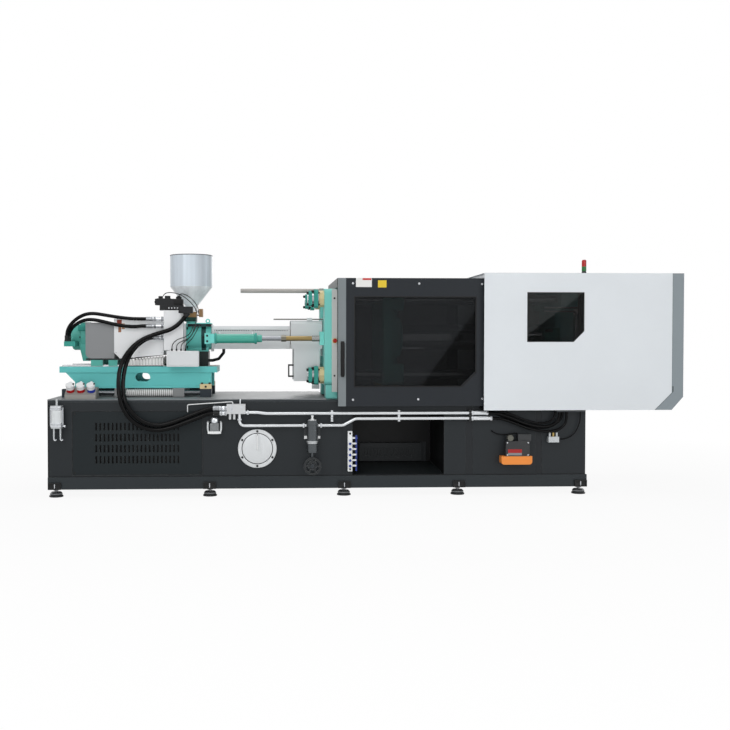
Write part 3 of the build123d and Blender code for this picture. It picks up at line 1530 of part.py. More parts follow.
parts["base_frame"] = group([base_frame(), oil_tank(), platen_ways()])
parts["base_panels"] = group(side_panels() + rear_panels() + end_panels() + both_sides(louvre_panel()))
parts["base_tray"] = base_tray()
parts["levelling_feet"] = group([feet(), foot_nuts()])
parts["drop_chute"] = group([drop_chute(), vent_box()])
parts["tank_cover"] = group([tank_cover(), tank_cover_bolts(), tank_cover_handle()])
parts["oil_filter"] = group([oil_filter(), filter_valve(), breather()])
parts["valve_wheel"] = valve_wheel()
parts["oil_manifold"] = oil_manifold()
parts["oil_pipes"] = group([oil_pipes(), pipe_clamps(), pipe_couplings(), hose_bulkhead()])
parts["front_fittings"] = group([lubricator(), lubricator_bowl(), lube_pump(), lube_tank(),
                                 lube_distributor(), water_manifold()])
parts["socket_box"] = group([socket_box(), socket_bodies()])
for index, place in enumerate(socket_places()):
    parts[f"socket_lid_{index + 1}"] = socket_lid(place)
parts["pump_set"] = group([pump_motor(), pump()])
parts["pump_coupling"] = pump_coupling()
parts["fixed_platen"] = group([fixed_platen(), traverse_lugs(), guard_rail(), hose_bar()])
parts["tie_bars"] = tie_bars()
parts["tie_bar_nuts"] = group([tie_bar_nuts(), nut_retainers()])
parts["platen_strip"] = group([platen_strip(), stop_button_base()])
parts["stop_button"] = stop_button()
parts["moving_platen"] = group([moving_platen(), platen_shoes(), clamp_ram()])
parts["ejector"] = ejector()
parts["tail_platen"] = tail_platen()
parts["clamp_cylinder"] = group([clamp_cylinder(), clamp_valve_block(), cowl_pipes()])
parts["guard_frame"] = group([guard_frame(), guard_roof(), gate_rails()])
parts["front_gate"] = group([gate_panel(), gate_handle()])
parts["front_gate_window"] = gate_window()
parts["rear_gate"] = mirror(parts["front_gate"], Plane.XZ)
parts["rear_gate_window"] = mirror(gate_window(), Plane.XZ)
parts["cowl_sheets"] = group([cowl_front(), cowl_rear(), cowl_top(), cowl_bearers()])
parts["cowl_end"] = cowl_end()
parts["cowl_window"] = cowl_window()
parts["beacon"] = beacon()
parts["unit_supports"] = group([unit_supports(), beam_keepers(), unit_rods()])
parts["rod_covers"] = group([rod_covers(), bearing_blocks()])
parts["carriage_beam"] = group([carriage_beam(), drive_ways()])
parts["drive_cover"] = drive_cover()
parts["drive_motor"] = group([drive_motor(), drive_shoes(), injection_rods()])
parts["drive_panels"] = drive_panels()
parts["unit_cylinders"] = group([traverse_cylinders(), injection_cylinders()])
parts["way_bellows"] = way_bellows()
parts["barrel_seat"] = group([barrel_seat(), throat_block()])
parts["barrel"] = group([barrel(), heater_bands(), nozzle()])
parts["screw"] = screw()
parts["hopper"] = hopper()
parts["hopper_lid"] = hopper_lid()
parts["shutoff_slide"] = shutoff_slide()
parts["barrel_guard"] = group([barrel_guard(), barrel_conduit()])
parts["purge_guard"] = group([purge_guard(), purge_handle()])
parts["traverse_rods"] = traverse_rods()
parts["oil_block"] = group([oil_block(), valve_stack(), terminal_box()])
parts["main_hose_1"], parts["main_hose_2"] = main_hose_pair
parts["motor_hose_1"], parts["motor_hose_2"] = motor_hose_pair
parts["clamp_hose_1"], parts["clamp_hose_2"] = clamp_hose_pair
parts["lube_tube"] = lube_tube()

os.makedirs("parts", exist_ok=True)
for name, shape in parts.items():
    export_step(shape, f"parts/{name}.step")
print(len(parts), "parts")
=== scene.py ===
import math

import bpy
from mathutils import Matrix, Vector


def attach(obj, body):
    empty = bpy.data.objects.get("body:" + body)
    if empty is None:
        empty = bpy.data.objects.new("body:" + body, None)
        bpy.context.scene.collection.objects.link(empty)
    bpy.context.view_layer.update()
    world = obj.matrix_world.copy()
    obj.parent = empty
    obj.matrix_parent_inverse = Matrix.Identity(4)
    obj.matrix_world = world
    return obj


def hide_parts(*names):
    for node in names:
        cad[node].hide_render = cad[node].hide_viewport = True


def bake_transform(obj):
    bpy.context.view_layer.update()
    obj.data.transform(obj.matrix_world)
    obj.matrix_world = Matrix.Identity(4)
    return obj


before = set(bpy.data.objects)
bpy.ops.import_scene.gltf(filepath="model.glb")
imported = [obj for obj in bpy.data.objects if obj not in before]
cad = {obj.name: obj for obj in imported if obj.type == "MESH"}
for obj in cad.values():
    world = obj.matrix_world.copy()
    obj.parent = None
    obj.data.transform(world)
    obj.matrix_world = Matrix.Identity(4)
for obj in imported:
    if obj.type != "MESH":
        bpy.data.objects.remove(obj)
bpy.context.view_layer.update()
print("frame loaded:", len(cad), "CAD nodes")

# the camera stands where the photograph was taken from

cameraSetup = {"place": (-0.837, -8.779, 1.28), "tilt": 88.568, "turn": -2.5, "lens": 49.315, "shiftX": 0.0771}

bpy.ops.object.select_all(action="DESELECT")
bpy.ops.object.camera_add(location=cameraSetup["place"])
camera = bpy.context.object
camera.rotation_euler = (math.radians(cameraSetup["tilt"]), 0, math.radians(cameraSetup["turn"]))
camera.data.lens = cameraSetup["lens"]
camera.data.sensor_width = 36
camera.data.shift_x = cameraSetup["shiftX"]
camera.data.clip_end = 200
bpy.context.scene.camera = camera


# small helpers for colours and shader nodes


def tone(red, green, blue):  # screen values from 0 to 255, turned into linear colour
    def linear(value):
        value = value / 255
        return value / 12.92 if value <= 0.04045 else ((value + 0.055) / 1.055) ** 2.4
    return (linear(red), linear(green), linear(blue), 1.0)


def addNode(tree, kind, **settings):
    made = tree.nodes.new(kind)
    for key, value in settings.items():
        setattr(made, key, value)
    return made


def feed(tree, node, values):  # plain values are set on the node's inputs, outputs of other nodes are linked
    for key, value in values.items():
        if isinstance(value, (int, float, tuple, list)):
            node.inputs[key].default_value = value
        else:
            tree.links.new(value, node.inputs[key])


def scalar(tree, operation, *values, clamp=False):
    made = addNode(tree, "ShaderNodeMath", operation=operation, use_clamp=clamp)
    feed(tree, made, dict(enumerate(values)))
    return made.outputs[0]


def vector(tree, operation, *values):  # a number for a dot product or a length, else a vector
    made = addNode(tree, "ShaderNodeVectorMath", operation=operation)
    feed(tree, made, dict(enumerate(values)))
    return made.outputs["Value" if operation in ("DOT_PRODUCT", "LENGTH") else "Vector"]


def axes(tree, place):
    split = addNode(tree, "ShaderNodeSeparateXYZ")
    feed(tree, split, {0: place})
    return split.outputs


def boxMask(tree, place, low, high):  # 1 inside the box, 0 outside, on Object coordinates
    centre = [(a + b) / 2 for a, b in zip(low, high)]
    half = [(b - a) / 2 for a, b in zip(low, high)]
    past = vector(tree, "SUBTRACT", vector(tree, "ABSOLUTE", vector(tree, "SUBTRACT", place, centre)), half)
    alongX, alongY, alongZ = axes(tree, past)
    furthest = scalar(tree, "MAXIMUM", scalar(tree, "MAXIMUM", alongX, alongY), alongZ)
    return scalar(tree, "LESS_THAN", furthest, 0.0)


def mixNumber(tree, mask, before, after):
    mixer = addNode(tree, "ShaderNodeMix", data_type="FLOAT")
    feed(tree, mixer, {0: mask, 2: before, 3: after})
    return mixer.outputs[0]


def mixColour(tree, mask, before, after, blend="MIX"):
    mixer = addNode(tree, "ShaderNodeMix", data_type="RGBA", blend_type=blend)
    feed(tree, mixer, {0: mask, 6: before, 7: after})
    return mixer.outputs[2]


def noise(tree, place, scale, detail, stretch=None):
    if stretch:
        mapping = addNode(tree, "ShaderNodeMapping")
        feed(tree, mapping, {0: place, "Scale": stretch})
        place = mapping.outputs[0]
    cloud = addNode(tree, "ShaderNodeTexNoise")
    feed(tree, cloud, {"Vector": place, "Scale": scale, "Detail": detail})
    return cloud.outputs[0]


def spread(tree, value, low, high, fromLow=0.3, fromHigh=0.7):
    ranged = addNode(tree, "ShaderNodeMapRange")
    feed(tree, ranged, {0: value, 1: fromLow, 2: fromHigh, 3: low, 4: high})
    return ranged.outputs[0]


def area(low, high, colour, rough=0.45, metal=0.0, **more):  # a box of another colour, cut by a plane if more says so
    return {"low": low, "high": high, "colour": colour, "rough": rough, "metal": metal, **more}


usual = {"metal": 0.0, "vary": 0.05, "cloud": 1.6, "cloudStretch": None, "smudge": 17.0, "stretch": None,
         "edge": 0.0025, "wear": 0.25, "worn": (205, 208, 208), "roughVary": 0.07, "bump": 0.12, "bumpDepth": 0.001,
         "grain": 240.0, "specular": 0.5, "coat": 0.0, "coatRough": 0.12, "alpha": 1.0}


def makeFinish(name, look, regions=()):
    look = {**usual, **look}
    made = bpy.data.materials.new(name)
    made.use_nodes = True
    tree = made.node_tree
    place = addNode(tree, "ShaderNodeTexCoord").outputs["Object"]
    colour, rough, metal = tone(*look["colour"]), look["rough"], look["metal"]
    for region in regions:  # painted, plated and cast parts of one merged node
        mask = boxMask(tree, place, region["low"], region["high"])
        if "normal" in region:
            along = vector(tree, "DOT_PRODUCT", place, region["normal"])
            mask = scalar(tree, "MULTIPLY", mask, scalar(tree, "GREATER_THAN", along, region["past"]))
        colour = mixColour(tree, mask, colour, tone(*region["colour"]))
        rough = mixNumber(tree, mask, rough, region["rough"])
        metal = mixNumber(tree, mask, metal, region["metal"])
    if "ribs" in look:  # painted shade in the valleys, at a pitch along X
        pitch, start, shade = look["ribs"]
        wave = scalar(tree, "PINGPONG", scalar(tree, "SUBTRACT", axes(tree, place)[0], start), pitch / 2)
        valley = spread(tree, wave, 1.0, 0.0, pitch * 0.08, pitch * 0.24)
        colour = mixColour(tree, valley, colour, tone(*shade))
    clouds = noise(tree, place, look["cloud"], 4.0, look["cloudStretch"])
    shading = spread(tree, clouds, 1 - look["vary"], 1 + look["vary"] * 0.4)
    colour = mixColour(tree, 1.0, colour, shading, "MULTIPLY")
    smudges = noise(tree, place, look["smudge"], 5.0, look["stretch"])
    soft = addNode(tree, "ShaderNodeBevel", samples=3)
    feed(tree, soft, {"Radius": look["edge"]})
    facing = vector(tree, "DOT_PRODUCT", soft.outputs[0], addNode(tree, "ShaderNodeNewGeometry").outputs["Normal"])
    wear = scalar(tree, "MULTIPLY", spread(tree, facing, look["wear"], 0.0, 0.72, 0.96),
                  spread(tree, smudges, 0.2, 1.0, 0.35, 0.6))
    rough = scalar(tree, "ADD", spread(tree, smudges, -look["roughVary"], look["roughVary"]), rough, clamp=True)
    bump = addNode(tree, "ShaderNodeBump")
    feed(tree, bump, {"Strength": look["bump"], "Distance": look["bumpDepth"], "Normal": soft.outputs[0],
                      "Height": noise(tree, place, look["grain"], 2.0)})
    feed(tree, tree.nodes["Principled BSDF"], {
        "Base Color": mixColour(tree, wear, colour, tone(*look["worn"])), "Roughness": rough, "Metallic": metal,
        "Normal": bump.outputs[0], "Coat Weight": look["coat"], "Coat Roughness": look["coatRough"],
        "Specular IOR Level": look["specular"], "Alpha": look["alpha"]})
    return made


# finishes that several pieces share

charcoal = (50, 54, 58)
teal = (102, 194, 192)
deepTeal = (58, 150, 138)
midGrey = (132, 135, 137)
black = (16, 17, 18)
silver = (205, 208, 212)
chrome = (222, 226, 230)
cream = (216, 197, 152)
brass = (178, 154, 96)
white = (232, 234, 235)
red = (158, 18, 20)
blue = (28, 46, 140)
orange = (238, 142, 58)

paint = {"rough": 0.44, "specular": 0.25, "bump": 0.1, "roughVary": 0.025, "smudge": 34.0}
plated = {"rough": 0.28, "metal": 0.9, "bump": 0.01, "smudge": 6.0, "wear": 0.05, "roughVary": 0.03}
upright = (1, 1, 0.02)  # the stretch of a pattern along Z: brushed grain in the roughness, painted reflection streaks in the colour

tealPaint = makeFinish("tealPaint", {**paint, "colour": teal})
deepTealPaint = makeFinish("deepTealPaint", {**paint, "colour": deepTeal})
palePaint = makeFinish("palePaint", {**paint, "colour": (216, 219, 221), "worn": midGrey, "wear": 0.12})
greyPaint = makeFinish("greyPaint", {**paint, "colour": midGrey})
darkPaint = makeFinish("darkPaint", {**paint, "colour": charcoal, "rough": 0.48})
blackOxide = makeFinish("blackOxide", {"colour": black, "rough": 0.38, "metal": 0.4, "bump": 0.08, "wear": 0.08})
blackPlastic = makeFinish("blackPlastic", {
    "colour": (12, 12, 13), "rough": 0.45, "bump": 0.1, "grain": 900.0, "specular": 0.25, "wear": 0.05})
blackRubber = makeFinish("blackRubber", {"colour": (12, 12, 13), "rough": 0.44, "bump": 0.25, "grain": 700.0,
                                         "wear": 0.1, "worn": (80, 80, 82), "specular": 0.3})
hoseRubber = makeFinish("hoseRubber", {"colour": (5, 5, 6), "rough": 0.26, "bump": 0.05, "grain": 500.0,
                                       "wear": 0.0, "specular": 0.12, "vary": 0.1, "roughVary": 0.03})
brightSteel = makeFinish("brightSteel", {**plated, "colour": silver})
chromedSteel = makeFinish("chromedSteel", {**plated, "colour": chrome, "rough": 0.12})
# hopper steel: the vertical colour streaks are painted reflections, the stretched roughness is brushed grain
brushedSteelAndSheen = makeFinish("brushedSteelAndSheen", {
    "colour": (212, 222, 231), "rough": 0.34, "metal": 0.15, "bump": 0.02, "smudge": 26.0, "stretch": upright,
    "vary": 0.3, "cloud": 12.0, "cloudStretch": upright, "wear": 0.0, "roughVary": 0.1}, [
    # painted highlight: the cone below the seam is painted lighter than the same steel above it
    area((-1.7, -0.2, 1.5), (-1.2, 0.2, 1.7425), (246, 251, 255), 0.34)])
fittingSteel = makeFinish("fittingSteel", {**plated, "colour": (160, 163, 167), "metal": 0.7, "rough": 0.25})
whitePlastic = makeFinish("whitePlastic", {"colour": white, "rough": 0.35, "bump": 0.08, "wear": 0.1,
                                           "worn": midGrey})
bluePlastic = makeFinish("bluePlastic", {"colour": (30, 52, 134), "rough": 0.4})
print("shared finishes ready")


# hoses and leads come first: every route is a list of control points in metres


def addRoute(data, points, along, around):  # a curve on control points, and how finely it is cut
    spline = data.splines.new("NURBS")
    spline.points.add(len(points) - 1)
    for point, place in zip(spline.points, points):
        point.co = (*place, 1)
    spline.order_u = 3
    spline.use_endpoint_u = True
    data.resolution_u = along
    data.bevel_resolution = around
    data.use_fill_caps = True


def smoothRoute(name, points, radius, material):
    data = bpy.data.curves.new(name, "CURVE")
    data.dimensions = "3D"
    addRoute(data, points, 10, 5)
    made = bpy.data.objects.new(name, data)
    bpy.context.collection.objects.link(made)
    line = bpy.data.meshes.new_from_object(made)
    path = [tuple(vertex.co) for vertex in line.vertices]
    length = sum((Vector(b) - Vector(a)).length for a, b in zip(path, path[1:]))
    print(name, "length", round(length, 3))
    data.bevel_depth = radius
    data.materials.append(material)
    return made, path, length


def meshHose(name, points, radius, material):  # a hose as a mesh that follows the same route
    curve, path, length = smoothRoute(name + "_route", points, radius, material)
    mesh = bpy.data.meshes.new_from_object(curve)
    made = bpy.data.objects.new(name, mesh)
    bpy.context.collection.objects.link(made)
    for face in mesh.polygons:
        face.use_smooth = True
    bpy.data.objects.remove(curve)
    return made, path, length


mainHose = {"radius": 0.0178, "from": (-1.7, -0.3, 1.28), "to": (-1.7, -0.3, 0.75), "routes": {
    "main_hose_1": [
        (-1.503, -0.345, 1.478), (-1.537, -0.345, 1.438), (-1.58, -0.348, 1.397), (-1.634, -0.351, 1.364),
        (-1.697, -0.352, 1.346), (-1.765, -0.353, 1.325), (-1.842, -0.354, 1.296), (-1.914, -0.363, 1.251),
        (-1.978, -0.387, 1.183), (-2.018, -0.435, 1.107), (-2.033, -0.505, 1.025), (-2.031, -0.58, 0.945),
        (-2.021, -0.64, 0.865), (-2.003, -0.664, 0.782), (-1.973, -0.664, 0.705), (-1.924, -0.664, 0.641),
        (-1.864, -0.664, 0.592), (-1.785, -0.664, 0.559), (-1.7, -0.664, 0.549), (-1.611, -0.665, 0.566),
        (-1.521, -0.669, 0.598), (-1.424, -0.671, 0.634), (-1.345, -0.669, 0.665), (-1.29, -0.66, 0.686),
        (-1.232, -0.66, 0.686)],
    "main_hose_2": [
        (-1.746, -0.298, 1.303), (-1.8, -0.298, 1.303), (-1.857, -0.303, 1.276), (-1.915, -0.318, 1.23),
        (-1.962, -0.35, 1.167), (-1.99, -0.4, 1.091), (-2.001, -0.47, 1.009), (-1.999, -0.552, 0.928),
        (-1.987, -0.622, 0.856), (-1.966, -0.66, 0.783), (-1.934, -0.664, 0.72), (-1.886, -0.664, 0.663),
        (-1.825, -0.664, 0.618), (-1.752, -0.664, 0.592), (-1.675, -0.664, 0.59), (-1.589, -0.664, 0.612),
        (-1.499, -0.662, 0.645), (-1.41, -0.661, 0.68), (-1.33, -0.66, 0.711), (-1.28, -0.66, 0.726),
        (-1.232, -0.66, 0.726)]}}
motorHose = {"radius": 0.015, "from": (-2.45, -0.25, 1.4), "to": (-1.82, -0.3, 1.4), "routes": {
    "motor_hose_1": [
        (-2.512, -0.238, 1.268), (-2.512, -0.238, 1.318), (-2.504, -0.243, 1.364), (-2.48, -0.249, 1.408),
        (-2.442, -0.257, 1.446), (-2.394, -0.268, 1.478), (-2.338, -0.28, 1.5), (-2.272, -0.289, 1.504),
        (-2.2, -0.292, 1.493), (-2.118, -0.294, 1.479), (-2.035, -0.296, 1.467), (-1.955, -0.298, 1.459),
        (-1.88, -0.298, 1.458), (-1.806, -0.298, 1.458)],
    "motor_hose_2": [
        (-2.504, -0.192, 1.268), (-2.504, -0.192, 1.312), (-2.494, -0.2, 1.352), (-2.466, -0.214, 1.39),
        (-2.422, -0.238, 1.421), (-2.374, -0.264, 1.443), (-2.318, -0.284, 1.453), (-2.255, -0.292, 1.448),
        (-2.18, -0.294, 1.431), (-2.1, -0.296, 1.411), (-2.015, -0.298, 1.396), (-1.935, -0.298, 1.391),
        (-1.868, -0.298, 1.398), (-1.806, -0.298, 1.398)]}}
for hoses, near, far in ((mainHose, "carriage", "machine"), (motorHose, "drive", "carriage")):
    for name, points in hoses["routes"].items():
        hose, path, length = meshHose(name + "_cover", points, hoses["radius"], hoseRubber)
        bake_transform(hose)
        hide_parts(name)

baseHoses = {
    "clamp_hose_1": (0.011, [
        (0.994, -0.64, 0.681), (1.06, -0.64, 0.681), (1.17, -0.643, 0.648), (1.295, -0.645, 0.592),
        (1.42, -0.645, 0.566), (1.505, -0.643, 0.568), (1.562, -0.641, 0.598), (1.59, -0.64, 0.642),
        (1.59, -0.64, 0.688)]),
    "clamp_hose_2": (0.011, [
        (1.028, -0.64, 0.637), (1.095, -0.64, 0.637), (1.205, -0.642, 0.6), (1.335, -0.643, 0.548),
        (1.46, -0.643, 0.524), (1.555, -0.642, 0.528), (1.62, -0.641, 0.564), (1.65, -0.64, 0.614),
        (1.65, -0.64, 0.688)]),
    "lube_tube": (0.005, [
        (1.585, -0.628, 0.46), (1.622, -0.628, 0.46), (1.675, -0.628, 0.474), (1.722, -0.628, 0.51),
        (1.752, -0.628, 0.565), (1.768, -0.628, 0.625), (1.768, -0.628, 0.688)])}
for name, (radius, points) in baseHoses.items():
    hose, _, length = smoothRoute(name + "_cover", points, radius, hoseRubber)
    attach(hose, "machine")
    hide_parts(name)

leadRadius = 0.0035
leads = {  # thin cables on the carriage: from the terminal box to the valves, at the seat and over the coils
    "valve_lead_1": [
        (-1.619, -0.332, 1.206), (-1.619, -0.333, 1.225), (-1.609, -0.338, 1.25), (-1.585, -0.345, 1.275),
        (-1.552, -0.352, 1.292), (-1.512, -0.352, 1.302), (-1.478, -0.335, 1.325), (-1.458, -0.3, 1.355),
        (-1.452, -0.24, 1.383), (-1.452, -0.17, 1.4), (-1.452, -0.1055, 1.405)],
    "valve_lead_2": [
        (-1.581, -0.332, 1.206), (-1.581, -0.333, 1.226), (-1.57, -0.339, 1.246), (-1.548, -0.345, 1.263),
        (-1.515, -0.346, 1.276), (-1.482, -0.335, 1.292), (-1.458, -0.305, 1.318), (-1.442, -0.25, 1.352),
        (-1.432, -0.18, 1.385), (-1.428, -0.14, 1.402), (-1.428, -0.1055, 1.405)],
    "heater_lead": [
        (-1.505, -0.332, 1.206), (-1.505, -0.333, 1.224), (-1.498, -0.337, 1.244), (-1.48, -0.338, 1.262),
        (-1.456, -0.325, 1.285), (-1.436, -0.29, 1.318), (-1.42, -0.235, 1.354), (-1.408, -0.175, 1.388),
        (-1.404, -0.14, 1.402), (-1.404, -0.1055, 1.405)],
    "hopper_lead": [
        (-1.543, -0.332, 1.206), (-1.543, -0.333, 1.226), (-1.533, -0.34, 1.248), (-1.51, -0.345, 1.268),
        (-1.478, -0.338, 1.29), (-1.45, -0.31, 1.33), (-1.432, -0.26, 1.385), (-1.428, -0.19, 1.436),
        (-1.43, -0.12, 1.462), (-1.4345, -0.0601, 1.462)],
    "coil_lead_1": [
        (-1.7, -0.25, 1.65), (-1.69, -0.252, 1.672), (-1.65, -0.25, 1.684), (-1.59, -0.235, 1.678),
        (-1.53, -0.2, 1.652), (-1.48, -0.155, 1.61), (-1.445, -0.11, 1.565), (-1.43, -0.085, 1.535),
        (-1.428, -0.066, 1.515)],
    "coil_lead_2": [
        (-1.567, -0.254, 1.652), (-1.56, -0.255, 1.668), (-1.53, -0.25, 1.672), (-1.49, -0.225, 1.655),
        (-1.45, -0.185, 1.62), (-1.42, -0.14, 1.575), (-1.41, -0.1, 1.535), (-1.412, -0.07, 1.508)]}
for name, points in leads.items():
    lead, _, length = smoothRoute(name, points, leadRadius, blackRubber)
    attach(lead, "carriage")

serviceHoses = {  # hoses beside the clamp hoses, and the lubrication pump's cable
    "service_hose_1": (0.011, [
        (0.93, -0.617, 0.728), (0.96, -0.618, 0.71), (1.02, -0.618, 0.688), (1.12, -0.618, 0.654),
        (1.24, -0.618, 0.606), (1.36, -0.618, 0.566), (1.46, -0.617, 0.552), (1.54, -0.616, 0.572),
        (1.6, -0.615, 0.615), (1.62, -0.615, 0.66), (1.62, -0.615, 0.688)]),
    "service_hose_2": (0.009, [
        (0.95, -0.64, 0.73), (0.985, -0.641, 0.718), (1.05, -0.642, 0.708), (1.15, -0.643, 0.682),
        (1.27, -0.643, 0.63), (1.39, -0.642, 0.594), (1.48, -0.641, 0.594), (1.53, -0.641, 0.62),
        (1.552, -0.64, 0.66), (1.556, -0.64, 0.69)]),
    "pump_cable": (0.0045, [
        (1.03, -0.606, 0.532), (1.045, -0.612, 0.52), (1.075, -0.62, 0.505), (1.12, -0.624, 0.498),
        (1.17, -0.626, 0.502), (1.215, -0.628, 0.51), (1.24, -0.628, 0.512)])}
for name, (radius, points) in serviceHoses.items():
    hose, _, length = smoothRoute(name, points, radius, hoseRubber)
    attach(hose, "machine")
print("hoses and leads laid")


def dress(node, finish, regions=(), name=None):  # a CAD node's material: a shared finish, or a look of its own
    if isinstance(finish, dict):
        first, *others = node.split("_")
        finish = makeFinish(name or first + "".join(word.title() for word in others), finish, regions)
    for holder in cad[node].material_slots:
        holder.material = finish


def bothSides(region):  # the same area mirrored behind the middle plane
    low, high = region["low"], region["high"]
    other = {**region, "low": (low[0], -high[1], low[2]), "high": (high[0], -low[1], high[2])}
    return [region, other]


# the CAD nodes' finishes: paint, plating and rubber, by place where a node holds several parts

slots = {"first": -2.403, "last": -1.35, "low": 0.179, "high": 0.702}
louvreShade = area((slots["first"], -0.6, slots["low"]), (slots["last"], -0.59, slots["high"]), (21, 28, 31), 0.5)
seams = [area((x, -0.61, 0.166), (x + 0.004, -0.585, 0.775), (22, 24, 26)) for x in (-1.345, -0.208)]
dress("base_frame", {**paint, "colour": (42, 47, 50), "rough": 0.46}, [
    # painted shade: the inside of the drop bay is painted near black, for the shade in the recess
    area((-0.165, -0.585, 0.2), (0.64, 0.6, 0.7805), (9, 9, 10)),
    area((-0.16, -0.376, 0.7905), (1.66, 0.376, 0.83), (150, 153, 156), 0.25, 0.9)])
edges = [((slots["first"], slots["low"]), (slots["last"], slots["low"] + 0.005)),
         ((slots["first"], slots["high"] - 0.005), (slots["last"], slots["high"])),
         ((slots["first"], slots["low"]), (slots["first"] + 0.005, slots["high"])),
         ((slots["last"] - 0.005, slots["low"]), (slots["last"], slots["high"])),
         ((-2.6, 0.165), (1.82, 0.171)), ((-2.6, 0.165), (-2.587, 0.775))]
seams += [area((x0, -0.61, z0), (x1, -0.59, z1), (16, 18, 20)) for (x0, z0), (x1, z1) in edges]
pillars = [area((x, -0.5975, 0.16), (x + 0.055, -0.59, 0.78), (30, 33, 36)) for x in (0.82, 1.399)]
dress("base_panels", {**paint, "colour": (33, 37, 40), "rough": 0.46}, bothSides(louvreShade) + seams + pillars)
dress("base_tray", {**paint, "colour": (119, 122, 125), "wear": 0.1, "smudge": 7.0, "vary": 0.09})
dress("levelling_feet", {"colour": (26, 28, 30), "rough": 0.45, "metal": 0.3}, [
    area((-3, -1, 0.023), (3, 1, 0.066), (120, 122, 124), 0.35, 0.8)])
# painted shade: the chute is near black all over for the shade inside the drop bay; the two lighter areas are its rear
# box and floor
dress("drop_chute", {**paint, "colour": (14, 15, 16)}, [
    area((-0.2, -0.1, 0.19), (0.6, 0.105, 0.37), (40, 43, 45)),
    area((-0.12, -0.6, 0.16), (0.637, 0.03, 0.2), (34, 38, 40), 0.4)])
dress("oil_filter", {"colour": (84, 88, 91), "rough": 0.28, "metal": 0.75}, [
    area((-0.53, -0.72, 0.438), (-0.37, -0.6, 0.459), (190, 193, 195), 0.3, 0.6),
    area((-0.53, -0.607, 0.46), (-0.37, -0.6, 0.61), (33, 37, 40)),
    area((-0.53, -0.607, 0.466), (-0.37, -0.6, 0.494), white),
    area((-0.53, -0.64, 0.2), (-0.37, -0.6, 0.3), (70, 74, 76), 0.35, 0.4),
    area((-1.31, -0.665, 0.5), (-1.19, -0.6, 0.54), white, 0.3, 0.3),
    area((-1.29, -0.665, 0.54), (-1.21, -0.6, 0.606), (120, 122, 124), 0.4, 0.5),
    area((-1.29, -0.665, 0.606), (-1.21, -0.6, 0.66), chrome, 0.12, 0.95)])
dress("valve_wheel", {"colour": (34, 37, 39), "rough": 0.32, "metal": 0.3, "wear": 0.5})
dress("oil_manifold", {"colour": (198, 200, 202), "rough": 0.36, "metal": 0.45}, [
    area((-1.24, -0.69, 0.66), (-1.148, -0.62, 0.75), chrome, 0.16, 0.9)])
dress("oil_pipes", {**plated, "colour": (216, 219, 222), "rough": 0.24, "metal": 0.6}, [
    area((0.835, -0.662, 0.61), (0.855, -0.599, 0.707), black, 0.4),
    area((1.55, -0.66, 0.687), (1.8, -0.599, 0.73), charcoal)])
dress("front_fittings", {"colour": (190, 194, 196), "rough": 0.3, "metal": 0.45}, [
    area((-2.562, -0.7, 0.6), (-2.468, -0.6, 0.7272), (214, 218, 220), 0.12, 0.0),
    area((1.09, -0.7, 0.255), (1.36, -0.59, 0.3272), orange, 0.4),
    area((1.13, -0.7, 0.3272), (1.335, -0.59, 0.452), (34, 35, 37), 0.4),
    area((1.151, -0.7, 0.354), (1.266, -0.683, 0.384), red, 0.4),
    area((1.151, -0.7, 0.335), (1.266, -0.683, 0.354), midGrey, 0.4),
    area((1.235, -0.68, 0.45), (1.35, -0.59, 0.51), (40, 42, 44), 0.4),
    area((1.14, -0.68, 0.4605), (1.2, -0.62, 0.505), (90, 90, 84), 0.3, 0.5),
    area((1.528, -0.66, 0.483), (1.556, -0.59, 0.52), brass, 0.3, 0.85),
    area((-0.165, -0.64, 0.2), (-0.085, -0.59, 0.54), white, 0.35)])
slope = {"normal": (0.0, -0.501, 0.8654), "past": 1.0162}
upper = {"normal": (0.0, -0.501, 0.8654), "past": 1.0412}
dress("socket_box", {**paint, "colour": (142, 140, 136)}, [
    area((-2.47, -0.62, 0.8), (-2.3, -0.4, 0.95), red, 0.32, **slope),
    area((-2.3, -0.62, 0.8), (-2.2, -0.4, 0.95), blue, 0.32, **slope),
    area((-2.47, -0.62, 0.8), (-2.2, -0.4, 0.95), (205, 207, 209), 0.3, **upper)])
for number in (1, 2, 3):
    dress(f"socket_lid_{number}", whitePlastic)
dress("pump_set", tealPaint)
dress("pump_coupling", blackOxide)
print("base nodes dressed")

platenTeal = (124, 208, 199)
dress("fixed_platen", {**paint, "colour": platenTeal}, [
    area((-0.77, -0.18, 1.45), (-0.3405, -0.16, 1.467), (128, 126, 124), 0.35, 0.3),
    area((-1.07, 0.37, 1.7105), (-0.29, 0.44, 1.76), (178, 174, 170), 0.4)])
dress("tie_bars", chromedSteel)
dress("tie_bar_nuts", {**paint, "colour": cream, "rough": 0.5}, [
    area((-0.4255, -0.5, 0.8), (-0.3908, 0.5, 1.8), deepTeal),
    area((-0.4725, -0.5, 0.8), (-0.4408, 0.5, 1.8), deepTeal),
    area((-0.3908, -0.5, 0.8), (-0.3832, 0.5, 1.8), silver, 0.3, 0.8),
    area((-0.4408, -0.5, 0.8), (-0.4255, 0.5, 1.8), silver, 0.3, 0.8)])
dress("platen_strip", {**paint, "colour": (196, 199, 197)}, [
    area((-0.29, -0.48, 1.24), (-0.23, -0.4621, 1.3), (214, 190, 60), 0.35)])
dress("stop_button", {"colour": (158, 16, 18), "rough": 0.3, "bump": 0.05})
dress("moving_platen", {**paint, "colour": platenTeal}, [
    area((0.15, -0.4, 0.8), (0.33, 0.4, 0.8995), brass, 0.35, 0.8),
    area((0.3555, -0.2, 1.1), (2.1, 0.2, 1.5), chrome, 0.14, 0.95)])
dress("ejector", brightSteel)
dress("tail_platen", tealPaint)
